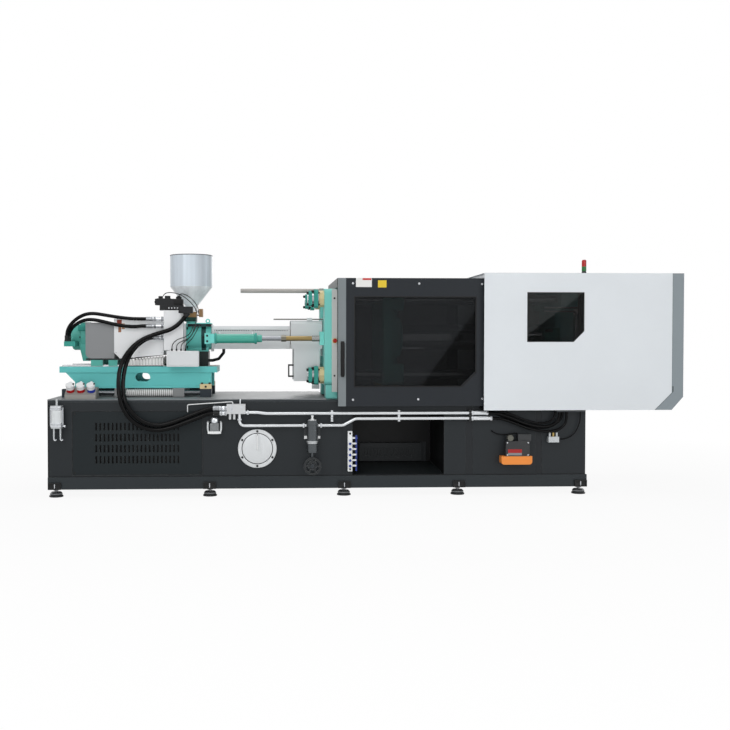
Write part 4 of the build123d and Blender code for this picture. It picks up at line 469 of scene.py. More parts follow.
dress("clamp_cylinder", {**paint, "colour": deepTeal}, [
    area((1.49, -0.512, 0.78), (1.82, -0.468, 1.57), (206, 209, 212), 0.25, 0.7),
    area((1.535, -0.4005, 1.345), (1.6, -0.37, 1.375), black)])
dress("guard_frame", {**paint, "colour": (56, 60, 64)}, [
    area((-0.25, -0.62, 0.746), (1.9, 0.62, 0.768), (120, 124, 126), 0.3, 0.8)])
gateLook = {**paint, "colour": (32, 36, 41), "rough": 0.38, "vary": 0.04}
gateAreas = [area((-0.2415, -0.66, 0.73), (-0.178, -0.61, 1.79), (124, 131, 134), 0.4),
             area((-0.23, -0.71, 0.96), (-0.19, -0.6552, 1.29), black, 0.4)]
plates = [area((-0.098, -0.656, 1.711), (0.032, -0.654, 1.785), (228, 228, 226), 0.35),
          area((-0.044, -0.656, 1.768), (0.028, -0.654, 1.783), (196, 52, 50), 0.35),
          area((0.082, -0.656, 1.708), (0.152, -0.654, 1.766), (226, 196, 62), 0.35)]
dress("front_gate", gateLook, gateAreas + plates)
dress("rear_gate", gateLook, [bothSides(region)[1] for region in gateAreas])
smoked = {"colour": (36, 38, 40), "rough": 0.05, "bump": 0.0, "wear": 0.0, "roughVary": 0.01, "alpha": 0.66,
          "specular": 0.08, "vary": 0.2}
# painted reflection: the gate glazing keeps the lighter colour on the upper left of a diagonal line and is painted
# darker past it
reflectionEdge = {"normal": (0.814, 0.0, -0.58), "past": -0.163}
dress("front_gate_window", smoked, [
    area((-0.15, -0.7, 0.85), (0.95, -0.6, 1.68), (8, 9, 10), 0.05, 0.0, **reflectionEdge)], "gateGlazing")
dress("rear_gate_window", {**smoked, "alpha": 0.9}, (), "rearGlazing")
# painted reflection: the cowl glazing is lighter on the upper left of a diagonal line and darker past it
reflectionEdge = {"normal": (0.595, 0.0, -0.804), "past": -0.288}
dress("cowl_window", {**smoked, "colour": (56, 58, 58), "alpha": 0.6}, [
    area((1.28, -0.7, 1.2), (1.8, -0.6, 1.7), (7, 8, 8), 0.05, 0.0, **reflectionEdge)], "cowlGlazing")
dress("cowl_sheets", {**paint, "colour": (222, 227, 231), "wear": 0.08, "vary": 0.03, "worn": midGrey})
dress("cowl_end", {**paint, "colour": (138, 147, 152), "wear": 0.1, "vary": 0.03}, [
    # painted shade: the chamfer's downward face and a thin strip down the trim's left edge are painted darker
    area((2.3, -0.71, 0.7), (2.52, 0.71, 0.9), (80, 88, 92), normal=(-0.7071, 0.0, 0.7071), past=-1.1763),
    area((2.5, -0.71, 0.845), (2.5085, 0.71, 1.84), (104, 112, 117))])
dress("beacon", {"colour": black, "rough": 0.2, "bump": 0.02}, [
    area((1.8, -0.4, 1.869), (2.0, -0.2, 1.909), (24, 104, 44), 0.2),
    area((1.8, -0.4, 1.909), (2.0, -0.2, 1.97), (170, 16, 14), 0.2)])
print("clamp nodes dressed")

dress("unit_supports", {**paint, "colour": (44, 50, 57)}, [
    *bothSides(area((-2.442, 0.25, 0.8), (-1.387, 0.31, 0.867), (92, 95, 98), 0.22, 0.85)),
    area((-1.388, -0.33, 0.8682), (-1.28, 0.33, 0.91), cream, 0.5)])
# rod covers: the ribs' valleys take painted shade
dress("rod_covers", {"colour": (226, 227, 226), "rough": 0.55, "bump": 0.2,
                     "ribs": (0.0165, -2.008, (120, 120, 118))}, [
    area((-2.104, -0.4, 0.79), (-2.0075, 0.4, 0.9), midGrey, 0.45),
    area((-1.6125, -0.4, 0.79), (-1.51, 0.4, 0.9), midGrey, 0.45)])
dress("carriage_beam", {**paint, "colour": teal}, [
    area((-2.6, -0.27, 1.0558), (-1.2, 0.27, 1.0562), (152, 150, 144), 0.5, 0.3),
    area((-2.56, -0.24, 1.0562), (-1.6, 0.24, 1.08), silver, 0.25, 0.9)])
dress("drive_cover", {**paint, "colour": (136, 138, 140), "wear": 0.1})
dress("drive_motor", {**paint, "colour": (86, 172, 160)}, [
    area((-2.54, -0.27, 1.22), (-2.43, -0.094, 1.27), deepTeal),
    area((-2.44, -0.2, 1.36), (-2.34, 0.2, 1.45), (40, 124, 108)),
    area((-2.352, -0.26, 1.1105), (-2.0, 0.26, 1.125), (44, 48, 50)),
    area((-2.2085, -0.26, 1.05), (-2.163, 0.26, 1.1105), (40, 43, 45)),
    area((-2.1095, -0.3, 1.2), (-1.6, 0.3, 1.4), chrome, 0.15, 0.9)])
dress("drive_panels", {**paint, "colour": (226, 228, 230), "wear": 0.08, "worn": midGrey}, [
    area((-2.085, -0.272, 1.405), (-2.045, -0.268, 1.452), (128, 52, 40)),
    area((-2.075, -0.272, 1.345), (-2.05, -0.268, 1.405), (150, 104, 78)),
    area((-2.045, -0.272, 1.372), (-2.02, -0.268, 1.42), (176, 140, 112))])
dress("unit_cylinders", {"colour": (58, 160, 142), "rough": 0.2, "bump": 0.0, "coat": 0.3, "wear": 0.1})
dress("barrel_seat", {**paint, "colour": (116, 208, 200), "rough": 0.3}, [
    area((-1.5055, -0.13, 1.05), (-1.3, 0.13, 1.1815), (30, 38, 38)),
    area((-1.527, -0.26, 1.05), (-1.5062, 0.26, 1.43), (196, 200, 202)),
    area((-1.504, -0.106, 1.395), (-1.3, 0.106, 1.42), (34, 36, 38)),
    area((-1.388, -0.118, 1.19), (-1.348, 0.118, 1.42), (28, 66, 66)),
    area((-1.54, -0.065, 1.4402), (-1.425, 0.065, 1.478), (30, 62, 56)),
    area((-1.54, -0.065, 1.478), (-1.425, 0.065, 1.53), (140, 112, 78), 0.4, 0.6)])
dress("barrel", {"colour": (168, 160, 148), "rough": 0.35, "metal": 0.8})
dress("screw", chromedSteel)
dress("hopper", brushedSteelAndSheen)
dress("hopper_lid", {**plated, "colour": (92, 98, 104), "rough": 0.35, "metal": 0.5}, (), "lidSteel")
dress("shutoff_slide", {"colour": (120, 122, 124), "rough": 0.35, "metal": 0.6}, [
    area((-1.42, -0.05, 1.47), (-1.37, 0.05, 1.56), (142, 112, 80), 0.4, 0.4)])
dress("barrel_guard", {**paint, "colour": (206, 209, 211), "wear": 0.06}, [
    area((-1.2855, -0.17, 1.08), (-1.16, -0.08, 1.2025), black, 0.4),
    area((-1.33, -0.17, 1.08), (-1.2855, -0.08, 1.14), black, 0.4)])
dress("purge_guard", {**paint, "colour": (212, 215, 217), "wear": 0.06}, [
    area((-0.642, -0.2, 0.95), (-0.592, -0.18, 1.08), black, 0.4)])
dress("traverse_rods", {**plated, "colour": (150, 153, 158), "rough": 0.16}, [
    area((-0.7005, -0.34, 1.25), (-0.6588, 0.34, 1.34), (120, 116, 104), 0.35, 0.8),
    area((-0.6588, -0.34, 1.25), (-0.4402, 0.34, 1.34), (146, 126, 82), 0.3, 0.7),
    area((-0.4402, -0.34, 1.25), (-0.3, 0.34, 1.34), (150, 152, 150), 0.25, 0.8)])
dress("oil_block", {**paint, "colour": (222, 224, 226), "wear": 0.08}, [
    area((-1.8, -0.31, 1.5302), (-1.5, -0.19, 1.66), (30, 31, 33), 0.4),
    area((-1.83, -0.33, 1.28), (-1.6892, -0.27, 1.49), chrome, 0.18, 0.9),
    area((-1.57, -0.38, 1.49), (-1.43, -0.3182, 1.57), (30, 31, 33), 0.35),
    area((-1.56, -0.38, 1.42), (-1.47, -0.3185, 1.506), (30, 31, 33), 0.35),
    area((-1.64, -0.345, 1.1885), (-1.48, -0.32, 1.21), black, 0.4)])
print("injection unit nodes dressed")


# modelling helpers


def setMode(mode):
    bpy.ops.object.mode_set(mode=mode)


def fixTransform():
    bpy.ops.object.transform_apply(location=True, rotation=True, scale=True)


def selectOnly(*chosen):
    if bpy.context.object and bpy.context.object.mode != "OBJECT":
        setMode("OBJECT")
    bpy.ops.object.select_all(action="DESELECT")
    for piece in chosen:
        piece.select_set(True)
    if chosen:
        bpy.context.view_layer.objects.active = chosen[0]


def editAll():
    setMode("EDIT")
    bpy.ops.mesh.select_all(action="SELECT")


def extrude(move):
    bpy.ops.mesh.extrude_region_move(TRANSFORM_OT_translate={"value": move})


turns = {"x": (0, 90, 0), "-x": (0, -90, 0), "y": (-90, 0, 0), "-y": (90, 0, 0), "z": (0, 0, 0), "-z": (180, 0, 0)}


def putDown(piece, place, axis="z"):  # turn the piece's own Z to the axis, move it, and keep that in its mesh
    selectOnly(piece)
    piece.rotation_euler = [math.radians(angle) for angle in turns[axis]]
    piece.location = place
    fixTransform()


def addModifier(piece, kind, **settings):
    selectOnly(piece)
    modifier = piece.modifiers.new(kind.title(), kind)
    for key, value in settings.items():
        setattr(modifier, key, value)
    bpy.ops.object.modifier_apply(modifier=modifier.name)


def bevelled(piece, width, steps=2):
    addModifier(piece, "BEVEL", width=width, segments=steps, limit_method="ANGLE")
    return piece


def arrayed(piece, count, step):
    addModifier(piece, "ARRAY", count=count, use_relative_offset=False, use_constant_offset=True,
                constant_offset_displace=step)


def pickFaces(piece, test):  # leaves edit mode on, with the faces that pass the test selected
    selectOnly(piece)
    setMode("EDIT")
    bpy.ops.mesh.select_mode(type="FACE")
    bpy.ops.mesh.select_all(action="DESELECT")
    setMode("OBJECT")
    for face in piece.data.polygons:
        face.select = test(face)
    setMode("EDIT")


def facesFront(face):
    return face.normal.y < -0.99


def rimmed(piece, test, rim, move=None):  # an inset on the faces that pass the test, and a step up or down inside it
    pickFaces(piece, test)
    bpy.ops.mesh.inset(thickness=rim)
    if move:
        extrude(move)
    setMode("OBJECT")
    return piece


def cleanNormals(piece):
    selectOnly(piece)
    editAll()
    bpy.ops.mesh.remove_doubles(threshold=0.00001)
    bpy.ops.mesh.normals_make_consistent(inside=False)
    setMode("OBJECT")


def turnPiece(place, axis, profile, sides=40):  # radius and height pairs, extruded and scaled ring by ring
    selectOnly()
    radius, height = profile[0]
    bpy.ops.mesh.primitive_circle_add(vertices=sides, radius=radius, fill_type="NGON", location=(0, 0, height))
    piece = bpy.context.object
    editAll()
    for nextRadius, nextHeight in profile[1:]:
        extrude((0, 0, nextHeight - height))
        ratio = nextRadius / radius
        bpy.ops.transform.resize(value=(ratio, ratio, 1), center_override=(0, 0, nextHeight))
        radius, height = nextRadius, nextHeight
    setMode("OBJECT")
    cleanNormals(piece)
    putDown(piece, place, axis)
    return piece


def blockPiece(low, high, bevel=0.003, steps=2):  # a block between two corners, with rounded edges
    selectOnly()
    size = [b - a for a, b in zip(low, high)]
    bpy.ops.mesh.primitive_cube_add(size=1, location=[(a + b) / 2 for a, b in zip(low, high)], scale=size)
    piece = bpy.context.object
    fixTransform()
    return bevelled(piece, bevel, steps) if bevel else piece


def boltHead(place, axis, radius, height):  # socket head cap screw
    return turnPiece(place, axis, [
        (radius * 0.94, 0), (radius, height * 0.1), (radius, height * 0.86), (radius * 0.9, height),
        (radius * 0.52, height), (radius * 0.52, height * 0.4)], 16)


def hexNut(place, axis, radius, height):
    return turnPiece(place, axis, [
        (radius * 0.9, 0), (radius, height * 0.14), (radius, height * 0.86), (radius * 0.9, height),
        (radius * 0.5, height), (radius * 0.5, height * 0.7)], 6)


def joined(made):
    selectOnly(*made)
    if len(made) > 1:
        bpy.ops.object.join()
    return bpy.context.object


def copied(piece):
    selectOnly(piece)
    bpy.ops.object.duplicate(linked=False)
    return bpy.context.object


def repeatPiece(piece, places):  # the piece stands at the first place; a copy with its own mesh at each other one
    made = [piece]
    for place in places[1:]:
        copy = copied(piece)
        copy.location = Vector(place) - Vector(places[0])
        fixTransform()
        made.append(copy)
    return joined(made)


def mirroredPiece(piece):  # a copy behind the machine's middle plane
    copy = copied(piece)
    copy.scale = (1, -1, 1)
    fixTransform()
    cleanNormals(copy)
    return copy


def withMirror(piece):
    return joined([piece, mirroredPiece(piece)])


def grid(xs, ys, zs):
    return [(x, y, z) for x in xs for y in ys for z in zs]


def boltCircle(centre, axis, radius, first, count):  # places round an axis, from the first angle on, in degrees
    places = []
    for i in range(count):
        angle = math.radians(first + 360 / count * i)
        across, up = radius * math.cos(angle), radius * math.sin(angle)
        offset = {"x": (0, across, up), "y": (across, 0, up), "z": (across, up, 0)}[axis]
        places.append([a + b for a, b in zip(centre, offset)])
    return places


def boltHeads(places, axis, radius, height):
    return repeatPiece(boltHead(places[0], axis, radius, height), places)


def settle(piece, name, material, body="machine"):
    selectOnly(piece)
    piece.name = name
    piece.data.name = name
    piece.data.materials.clear()
    piece.data.materials.append(material)
    bpy.ops.object.shade_smooth_by_angle(angle=math.radians(32))
    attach(piece, body)
    return piece


def settleBoth(piece, name, material, onGate=False):  # the front piece, and its mirrored copy at the rear
    for side, made in (("rear", mirroredPiece(piece)), ("front", piece)):
        settle(made, side + "_" + name, material, side + "_gate" if onGate else "machine")


def rigidPipe(points, radius):  # a bent metal pipe
    selectOnly()
    bpy.ops.curve.primitive_nurbs_path_add()
    piece = bpy.context.object
    piece.data.splines.clear()
    addRoute(piece.data, points, 8, 4)
    piece.data.bevel_depth = radius
    bpy.ops.object.convert(target="MESH")
    return bpy.context.object


def windowFrame(left, right, bottom, top, cut, face, width, proud):  # a flat rim round a window, corner cut
    selectOnly()
    centre = ((left + right) / 2, face, (bottom + top) / 2)
    bpy.ops.mesh.primitive_plane_add(size=1, location=centre, rotation=(math.radians(90), 0, 0))
    piece = bpy.context.object
    piece.scale = (right - left + 2 * width, top - bottom + 2 * width, 1)
    fixTransform()
    editAll()
    corner = (right + width - cut, face, bottom - width)
    bpy.ops.mesh.bisect(plane_co=corner, plane_no=(1, 0, -1), clear_outer=True, use_fill=False)
    bpy.ops.mesh.select_all(action="SELECT")
    bpy.ops.mesh.inset(thickness=width, use_even_offset=True)
    bpy.ops.mesh.delete(type="FACE")
    bpy.ops.mesh.select_all(action="SELECT")
    extrude((0, -proud, 0))
    setMode("OBJECT")
    cleanNormals(piece)
    return bevelled(piece, proud * 0.3)


# base: louvre lips, corner screws, foot brackets, tank cover

louvre = {"firstX": -2.2085, "firstZ": 0.3055, "pitchX": 0.0332, "pitchZ": 0.09, "columns": 21, "rows": 4}
x, z = louvre["firstX"], louvre["firstZ"]
lip = blockPiece((x - 0.0105, -0.6035, z - 0.031), (x - 0.0065, -0.597, z + 0.031), 0)
pickFaces(lip, facesFront)
bpy.ops.transform.resize(value=(0.4, 1, 0.9), center_override=(x - 0.007, -0.6035, z))
setMode("OBJECT")
arrayed(lip, louvre["columns"], (louvre["pitchX"], 0, 0))
arrayed(lip, louvre["rows"], (0, 0, louvre["pitchZ"]))
settleBoth(lip, "louvre_lips", makeFinish("louvreLips", {**paint, "colour": (23, 30, 33), "rough": 0.5}))
panelCorners = grid((-2.383, -1.37), (-0.597,), (0.199, 0.682))
settleBoth(boltHeads(panelCorners, "-y", 0.008, 0.004), "panel_screws", blackOxide)

footBracket = {"stations": (-2.543, -1.29, -0.187, 0.76, 1.776), "half": 0.052, "bottom": 0.0655, "top": 0.122}
x, half, bottom = footBracket["stations"][0], footBracket["half"], footBracket["bottom"]
bracket = blockPiece((x - half, -0.628, bottom), (x + half, -0.6101, footBracket["top"]), 0)
bevelled(rimmed(bracket, facesFront, 0.009, (0, 0.012, 0)), 0.0015)
brackets = repeatPiece(bracket, grid(footBracket["stations"], (-0.6101,), (bottom,)))
settleBoth(brackets, "foot_brackets", blackOxide)
places = grid(footBracket["stations"], (-0.6195,), (0.0735,))
stud = turnPiece(places[0], "z", [(0.004, 0), (0.005, 0.002), (0.005, 0.036), (0.003, 0.038)], 12)
settleBoth(repeatPiece(stud, places), "foot_studs", brightSteel)

tankCover = {"place": (-0.901, -0.6, 0.392), "outer": 0.158, "inner": 0.128, "ring": 0.142}
x, y, z = tankCover["place"]
outer, inner = tankCover["outer"], tankCover["inner"]
castAluminium = makeFinish("castAluminium", {"colour": (214, 217, 219), "rough": 0.38, "metal": 0.35, "bump": 0.2,
                                             "grain": 500.0, "wear": 0.1})
cover = settle(turnPiece((x, y, z), "-y", [
    (outer, 0), (outer, 0.011), (outer - 0.003, 0.014), (inner + 0.002, 0.014), (inner, 0.012),
    (inner - 0.001, 0.006), (inner - 0.006, 0.0085), (0.03, 0.0095)], 96), "tank_cover_plate", castAluminium)
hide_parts("tank_cover")
ring = boltCircle((x, y - 0.014, z), "y", tankCover["ring"], 30, 6)
settle(boltHeads(ring, "-y", 0.009, 0.01), "tank_cover_screws", blackOxide)
# painted shade: a thin black ring in the groove round the disc stands for the groove's shade
grooveShade = turnPiece((x, y - 0.0085, z), "-y", [(0.1272, 0), (0.1272, 0.001), (0.1245, 0.001), (0.1245, 0)], 96)
settle(grooveShade, "tank_cover_groove_shade", blackRubber)
gripRoute = ((0.008, -0.004), (0.036, -0.004), (0.049, 0.002), (0.049, 0.02), (0.049, 0.09), (0.049, 0.108),
             (0.036, 0.114), (0.008, 0.114))
settle(rigidPipe([(x, y - out, z + up) for out, up in gripRoute], 0.006), "tank_cover_grip", whitePlastic)
print("base pieces made")

breather = {"x": -1.249, "y": -0.634, "low": 0.522, "high": 0.612, "half": 0.054}
x, y, low, high, half = breather.values()
frameRoute = [
    (x - half + 0.004, -0.601, high), (x - half, y, high), (x - half, y, high - 0.02), (x - half, y, low + 0.02),
    (x - half + 0.012, y, low), (x, y, low), (x + half - 0.012, y, low), (x + half, y, low + 0.02),
    (x + half, y, high - 0.02), (x + half, y, high), (x + half - 0.004, -0.601, high)]
settle(rigidPipe(frameRoute, 0.0075), "breather_frame", palePaint)
bowl = blockPiece((x - 0.036, y - 0.02, low + 0.008), (x + 0.036, y + 0.033, high - 0.006), 0.01, 3)
settle(rimmed(bowl, facesFront, 0.004, (0, 0.004, 0)), "breather_bowl", greyPaint)
dome = turnPiece((x, -0.63, high + 0.002), "z", [
    (0.031, 0), (0.033, 0.003), (0.033, 0.022), (0.029, 0.032), (0.02, 0.039), (0.006, 0.042)], 32)
settle(dome, "breather_dome", chromedSteel)

mats = {"left": -2.385, "right": -1.368, "bottom": 0.195, "top": 0.688, "front": -0.572, "back": -0.56}
left, right, bottom, top, front, back = mats.values()
mat = blockPiece((left, front, bottom), (right, back, top))
settleBoth(rimmed(mat, lambda face: abs(face.normal.y) > 0.99, 0.02), "filter_mat", blackRubber)
print("breather and filter mats made")

# oil fittings: hex nuts, ferrules, plugs and thin pipes


def ferrule(place, axis, radius, length):  # crimped sleeve on a hose end
    groove = radius * 0.92
    rings = [(groove, 0), (radius, length * 0.06)]
    for i in range(4):
        rings += [(radius, length * (0.14 + 0.2 * i)), (groove, length * (0.17 + 0.2 * i)),
                  (radius, length * (0.2 + 0.2 * i))]
    return turnPiece(place, axis, rings + [(radius, length * 0.95), (groove, length)], 28)


def nutsAlongX(y, height, nuts):  # each nut: start, z, radius
    return [hexNut((start, y, z), "x", radius, height) for start, z, radius in nuts]


carriageEnds = [ferrule((start, -0.298, z), "x", radius, 0.055) for start, z, radius in (
    (-1.836, 1.458, 0.0178), (-1.836, 1.398, 0.0178), (-1.776, 1.303, 0.0215))]
carriageEnds += nutsAlongX(-0.298, 0.02, (
    (-1.775, 1.458, 0.021), (-1.775, 1.398, 0.021), (-1.712, 1.458, 0.022), (-1.712, 1.398, 0.022),
    (-1.714, 1.303, 0.027)))
settle(joined(carriageEnds), "carriage_hose_fittings", fittingSteel, "carriage")
for name, z, finish in (("upper_hose_ferrule", 0.726, fittingSteel), ("lower_hose_ferrule", 0.686, blackOxide)):
    settle(ferrule((-1.259, -0.66, z), "x", 0.0215, 0.055), name, finish)
manifoldNuts = nutsAlongX(-0.66, 0.018, [(start, z, 0.022) for z in (0.726, 0.686) for start in (-1.2, -1.168)])
settle(joined(manifoldNuts), "manifold_hose_nuts", fittingSteel)
motorEnds = []
for x, y in ((-2.512, -0.238), (-2.504, -0.192)):
    motorEnds += [hexNut((x, y, 1.268), "z", 0.021, 0.014), ferrule((x, y, 1.282), "z", 0.0183, 0.036)]
settle(joined(motorEnds), "motor_hose_fittings", blackOxide, "drive")
settle(ferrule((-1.503, -0.345, 1.505), "-z", 0.021, 0.022), "junction_hose_fitting", blackOxide, "carriage")
pipeNuts = nutsAlongX(-0.64, 0.016, [(start, z, 0.02) for start, z in (
    (0.857, 0.681), (0.978, 0.681), (0.857, 0.637), (1.012, 0.637), (-0.531, 0.583), (-0.389, 0.583),
    (-0.985, 0.69))])
settle(joined([*pipeNuts, hexNut((-1.045, -0.64, 0.626), "z", 0.019, 0.014)]), "pipe_nuts", brightSteel)
plugs = [(-1.112, -0.666, 0.735), (-1.112, -0.666, 0.705), (-1.03, -0.666, 0.735)]
settle(boltHeads(plugs, "-y", 0.012, 0.007), "manifold_plugs", brightSteel)
thinPipe = rigidPipe([
    (-1.468, -0.596, 0.694), (-1.468, -0.612, 0.694), (-1.468, -0.616, 0.702), (-1.468, -0.616, 0.742),
    (-1.466, -0.616, 0.752), (-1.456, -0.616, 0.754), (-1.3, -0.616, 0.764), (-1.15, -0.616, 0.774),
    (-1.11, -0.616, 0.777), (-1.1, -0.616, 0.772), (-1.098, -0.62, 0.758)], 0.004)
settle(thinPipe, "thin_pipe", whitePlastic)
riserRoute = ((-0.64, 0.757), (-0.64, 0.775), (-0.637, 0.786), (-0.62, 0.792), (-0.601, 0.793))
settle(rigidPipe([(-1.04, y, z) for y, z in riserRoute], 0.006), "manifold_riser", brightSteel)
filterTop = turnPiece((-0.452, -0.65, 0.626), "z", [
    (0.034, 0), (0.034, 0.004), (0.013, 0.006), (0.013, 0.014), (0.009, 0.016), (0.009, 0.03), (0.012, 0.032),
    (0.011, 0.04)], 24)
settle(filterTop, "filter_indicator", whitePlastic)
hubCap = turnPiece((-0.452, -0.678, 0.253), "-y", [(0.02, 0), (0.02, 0.004), (0.016, 0.009), (0.006, 0.011)], 24)
settle(hubCap, "valve_wheel_cap", darkPaint, "valve_wheel")
print("oil fittings made")

# lubricator, sockets, water bar, lubrication pump

lubricator = {"x": -2.515, "y": -0.648, "radius": 0.046, "rings": (0.602, 0.715, 0.738)}
x, y, r = lubricator["x"], lubricator["y"], lubricator["radius"]
rings = [turnPiece((x, y, height), "z", [
    (r + 0.0005, 0), (r + 0.003, 0.002), (r + 0.003, 0.009), (r + 0.0005, 0.011)], 48)
    for height in lubricator["rings"]]
rings += [
    turnPiece((x + r, y, 0.584), "x", [
        (0.006, -0.002), (0.006, 0.01), (0.01, 0.011), (0.01, 0.02), (0.007, 0.022)], 20),
    turnPiece((x, y, 0.729), "z", [(0.047, 0), (0.051, 0.002), (0.051, 0.02), (0.046, 0.0215)], 48),
    turnPiece((x, y, 0.577), "z", [(0.046, 0), (0.051, 0.002), (0.051, 0.018), (0.047, 0.02)], 48)]
rings += [turnPiece((x + dx, y - 0.005, 0.59), "z", [(0.004, 0), (0.004, 0.146)], 12) for dx in (-0.05, 0.05)]
settle(joined(rings), "lubricator_rings", brightSteel)
hookRoute = ((0, 0.503), (0, 0.49), (0, 0.478), (0.006, 0.47), (0.014, 0.47), (0.019, 0.478))
hooks = [rigidPipe([(x + dx + out, y, z) for out, z in hookRoute], 0.0055) for dx in (-0.024, 0.028)]
settle(joined(hooks), "lubricator_hooks", brightSteel)
for number, x in enumerate((-2.425, -2.341, -2.257), 1):
    latch = blockPiece((x + 0.022, -0.574, 0.913), (x + 0.034, -0.556, 0.929), 0.002)
    settle(latch, f"socket_latch_{number}", blackPlastic, f"socket_lid_{number}")

waterBar = {"x": -0.1425, "face": -0.636, "topKnob": 0.477, "pitch": 0.0456, "knobs": 6, "ends": (0.222, 0.515),
            "firstOffset": (0.0515, 0.012, 0)}
x, y = waterBar["x"], waterBar["face"]
knobs = [(x, y, waterBar["topKnob"] - waterBar["pitch"] * i) for i in range(waterBar["knobs"])]
knob = turnPiece(knobs[0], "-y", [(0.005, 0), (0.005, 0.006), (0.011, 0.007), (0.011, 0.016), (0.009, 0.018)], 16)
knob.location = waterBar["firstOffset"]  # only the first knob: its copies stay in line on the bar
settle(repeatPiece(knob, knobs), "water_bar_knobs", bluePlastic)
settle(boltHeads(grid((x,), (y,), waterBar["ends"]), "-y", 0.008, 0.005), "water_bar_bolts", blackOxide)
gaugeStrip = blockPiece((-0.097, -0.622, 0.205), (-0.083, -0.606, 0.5))
settle(rimmed(gaugeStrip, facesFront, 0.003, (0, 0.003, 0)), "flow_meter_strip", bluePlastic)

bezel = turnPiece((1.17, -0.67, 0.478), "-y", [
    (0.0255, -0.02), (0.0255, 0.003), (0.0235, 0.006), (0.021, 0.006), (0.0205, 0.003), (0.002, 0.003)], 32)
settle(bezel, "pump_gauge", makeFinish("gaugeFinish", {"colour": (98, 98, 90), "rough": 0.3, "metal": 0.4}, [
    area((1.155, -0.69, 0.463), (1.185, -0.66, 0.478), (205, 176, 60), 0.3)]))
settle(boltHeads(grid((1.146, 1.318), (-0.684,), (0.338, 0.438)), "-y", 0.006, 0.004), "pump_screws", brightSteel)
cap = turnPiece((1.32, -0.645, 0.327), "z", [
    (0.02, 0), (0.02, 0.004), (0.016, 0.006), (0.016, 0.014), (0.012, 0.016)], 24)
settle(cap, "pump_tank_cap", blackPlastic)
print("base fittings made")

# gates and cowl

gateScrews = [(x, -0.655, z) for x, z in (
    (-0.122, 1.741), (0.42, 1.74), (0.937, 1.737), (-0.121, 0.793), (0.414, 0.795), (0.943, 0.799))]
settleBoth(boltHeads(gateScrews, "-y", 0.009, 0.005), "gate_screws", brightSteel, True)
grip = turnPiece((-0.208, -0.682, 0.981), "z", [
    (0.009, 0), (0.0145, 0.006), (0.0165, 0.016), (0.0165, 0.27), (0.0145, 0.28), (0.009, 0.286)], 32)
settleBoth(grip, "gate_grip", blackPlastic, True)
gateWindow = {"left": -0.104, "right": 0.883, "bottom": 0.905, "top": 1.627, "cut": 0.116, "face": -0.655,
              "width": 0.009, "proud": 0.003}
settleBoth(windowFrame(**gateWindow), "gate_gasket", blackRubber, True)
cowlWindow = {"left": 1.306, "right": 1.767, "bottom": 1.27, "top": 1.664, "cut": 0.086, "face": -0.6935,
              "width": 0.006, "proud": 0.006}
settle(windowFrame(**cowlWindow), "cowl_gasket", blackRubber)
settle(boltHeads(grid((-0.259,), (-0.462,), (1.628, 0.982)), "-y", 0.008, 0.004), "strip_screws", blackOxide)
tieBars = {"y": 0.32, "low": 0.982, "high": 1.628, "boltOffset": 0.048}
y, low, high, aside = tieBars.values()
keeperBolts = [(-0.4735, barY + dy, barZ + dz) for barY in (-y, y) for barZ in (low, high)
               for dy in (-aside, aside) for dz in (-aside, aside)]
longBolt = turnPiece(keeperBolts[0], "x", [(0.009, -0.008), (0.009, 0.001), (0.006, 0.0015), (0.006, 0.0905)], 12)
settle(repeatPiece(longBolt, keeperBolts), "retainer_bolts", blackOxide)
caps = [(capX, capY, barZ + dz) for capY in (-0.375, 0.375) for capX, offset in ((-0.4685, aside), (-0.4265, 0.06))
        for barZ in (low, high) for dz in (-offset, offset)]
capScrew = turnPiece(caps[0], "-x", [(0.0095, -0.004), (0.0115, 0), (0.0115, 0.014), (0.008, 0.017)], 16)
settle(repeatPiece(capScrew, caps), "retainer_caps", blackOxide)
print("gates and cowl made")

# injection unit

settle(boltHead((-1.338, -0.322, 0.886), "-y", 0.009, 0.006), "keeper_face_screw", blackOxide)
settle(boltHeads(grid((-1.37, -1.306), (-0.292, 0.292), (0.908,)), "z", 0.01, 0.012), "keeper_top_screws", blackOxide)

bellows = {"left": -1.998, "right": -1.701, "bottom": 1.0565, "top": 1.1235, "halfWidth": 0.029, "folds": 11,
           "depth": 0.74, "growth": 1.017, "y": -0.225, "strapLow": 1.116, "strapRise": 0.034}
left, right, bottom, top, half, folds, depth, growth, y, strapLow, strapRise = bellows.values()
pitch = (right - left) / folds
selectOnly()
bpy.ops.mesh.primitive_plane_add(size=1, location=(left, y, (bottom + top) / 2), rotation=(0, math.radians(90), 0))
folded = bpy.context.object
folded.scale = ((top - bottom) * 0.8, 2 * half, 1)
fixTransform()
editAll()
for i in range(2 * folds):
    ratio = depth if i % 2 == 0 else 1 / depth
    extrude((pitch / 2, 0, 0))
    bpy.ops.transform.resize(value=(1, ratio, ratio * growth), center_override=(left + (i + 1) * pitch / 2, y, bottom))
setMode("OBJECT")
cleanNormals(folded)
bevelled(folded, 0.0012)
straps = []
for low, high, rise in ((bottom - 0.001, bottom + 0.006, 0.0), (strapLow, strapLow + 0.009, strapRise)):
    strap = blockPiece((left, -0.257, low), (right, -0.193, high), 0)
    pickFaces(strap, lambda face: face.normal.x > 0.9)
    bpy.ops.transform.translate(value=(0, 0, rise))
    setMode("OBJECT")
    straps.append(bevelled(strap, 0.0015))
strapFaces = sum(len(strap.data.polygons) for strap in straps)
pair = withMirror(joined([folded, *straps]))
pair.name = "way_bellows_cover"
pair.data.materials.clear()
